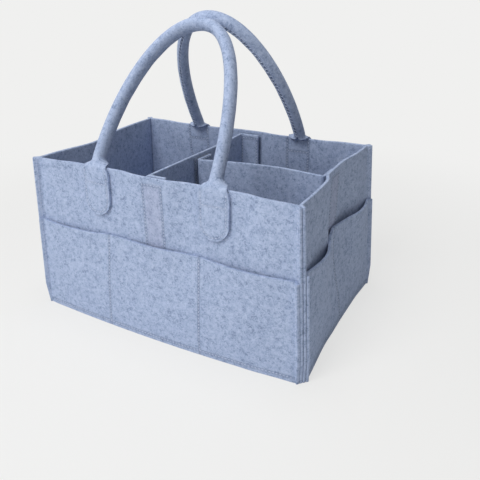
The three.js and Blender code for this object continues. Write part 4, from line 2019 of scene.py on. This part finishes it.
@dataclass
class Studio:
    """A pale sweep, soft light and the camera."""

    floor_size: float = 30.0
    paper: str = "#F0F0EF"
    shadow_share: float = 0.25  # of the lit paper in what is seen beside the caddy
    shadow_near: float = 0.25
    shadow_far: float = 0.75
    sky: float = 0.305
    lamps: tuple[Lamp, ...] = (
        Lamp("soft_key", (-0.72, -1.45, 0.24), target=(0.0, 0.0, 0.1), power=4.6, size=0.7),
        Lamp("soft_high_front", (-0.2, -0.95, 1.2), target=(0.0, 0.0, 0.12), power=11.4, size=0.7),
        Lamp("soft_top", (0.0, 0.03, 1.05), target=(0.0, 0.03, 0.0), power=2.6, size=0.4),
    )
    camera_place: tuple[float, float, float] = (0.2919, -0.4723, 0.3412)
    camera_azimuth: float = 28.09
    camera_elevation: float = 26.27
    camera_roll: float = -0.5
    focal_pixels: float = 525.0
    image_pixels: float = 480.0
    sensor: float = 36.0
    near_limit: float = 0.01

    def floor(self) -> None:
        """A plain pale floor that shows the caddy's shadow near it and is even further off."""
        deselect()
        bpy.ops.mesh.primitive_plane_add(size=self.floor_size)
        piece = bpy.context.object
        piece.name = "paper_floor"
        material, tree = new_material("matt_white_paper")
        seen = self.seen_directly(tree)
        place = add_node(tree, "ShaderNodeTexCoord").outputs["Object"]
        away = add_node(tree, "ShaderNodeVectorMath", {0: place}, operation="LENGTH").outputs["Value"]
        plain = add_node(
            tree,
            "ShaderNodeMapRange",
            {0: away, 1: self.shadow_near, 2: self.shadow_far, 3: 1 - self.shadow_share, 4: 1.0},
            interpolation_type="SMOOTHSTEP",
        ).outputs[0]
        share = add_node(tree, "ShaderNodeMath", {0: seen, 1: plain}, operation="MULTIPLY").outputs[0]
        lit = add_node(tree, "ShaderNodeBsdfDiffuse", {"Color": linear(self.paper)}).outputs[0]
        even = add_node(tree, "ShaderNodeEmission", {"Color": linear(self.paper), "Strength": 1.0})
        mixed = add_node(tree, "ShaderNodeMixShader", {0: share, 1: lit, 2: even.outputs[0]})
        add_node(tree, "ShaderNodeOutputMaterial", {"Surface": mixed.outputs[0]})
        piece.data.materials.append(material)

    def seen_directly(self, tree: bpy.types.NodeTree) -> bpy.types.NodeSocket:
        """Tells what is seen from what only lights.

        Args:
            tree: The node tree to add to.

        Returns:
            1 for rays from the camera, and those that a mirror or glass passes on.
        """
        path = add_node(tree, "ShaderNodeLightPath").outputs
        seen = path["Is Camera Ray"]
        for other in (path["Is Glossy Ray"], path["Is Transmission Ray"]):
            seen = add_node(tree, "ShaderNodeMath", {0: seen, 1: other}, operation="MAXIMUM").outputs[0]
        return seen

    def world(self) -> None:
        """An even pale sky that lights softly and is seen as the backdrop."""
        world = bpy.data.worlds.new("pale_studio")
        world.use_nodes = True
        tree = world.node_tree
        tree.nodes.clear()
        seen = self.seen_directly(tree)
        lit = add_node(tree, "ShaderNodeBackground", {"Color": linear("#FFFFFF"), "Strength": self.sky})
        shown = add_node(tree, "ShaderNodeBackground", {"Color": linear(self.paper), "Strength": 1.0})
        mixed = add_node(tree, "ShaderNodeMixShader", {0: seen, 1: lit.outputs[0], 2: shown.outputs[0]})
        add_node(tree, "ShaderNodeOutputWorld", {"Surface": mixed.outputs[0]})
        bpy.context.scene.world = world

    def camera(self) -> None:
        """The camera at the photograph's place and angle."""
        data = bpy.data.cameras.new("camera")
        data.sensor_width = self.sensor
        data.lens = self.focal_pixels / self.image_pixels * self.sensor
        data.clip_start = self.near_limit
        camera = bpy.data.objects.new("camera", data)
        camera.location = self.camera_place
        look = Euler(
            (math.pi / 2 - math.radians(self.camera_elevation), 0.0, math.radians(self.camera_azimuth))
        ).to_matrix()
        roll = Euler((0.0, 0.0, math.radians(self.camera_roll))).to_matrix()
        camera.rotation_euler = (look @ roll).to_euler()
        bpy.context.scene.collection.objects.link(camera)
        bpy.context.scene.camera = camera

    def build(self) -> None:
        """Sets the stage."""
        self.floor()
        self.world()
        for lamp in self.lamps:
            lamp.build()
        self.camera()
        bpy.context.scene.view_settings.view_transform = "Standard"


def main() -> None:
    """Builds the caddy and its stage, and logs each piece's face count."""
    logging.basicConfig(level=logging.INFO, format="%(name)s: %(message)s")
    finishes = Finishes.make()
    Studio().build()
    parts = [
        FeltBox(finishes),
        RolledHandle(Side.FRONT, Body.FRONT_HANDLE, finishes),
        RolledHandle(Side.BACK, Body.BACK_HANDLE, finishes),
        Dividers(finishes),
        Tapes(finishes),
    ]
    for part in parts:
        for piece in part.build():
            LOG.info("%s: %d faces", piece.name, len(piece.data.polygons))
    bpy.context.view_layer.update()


if __name__ == "__main__":
    main()
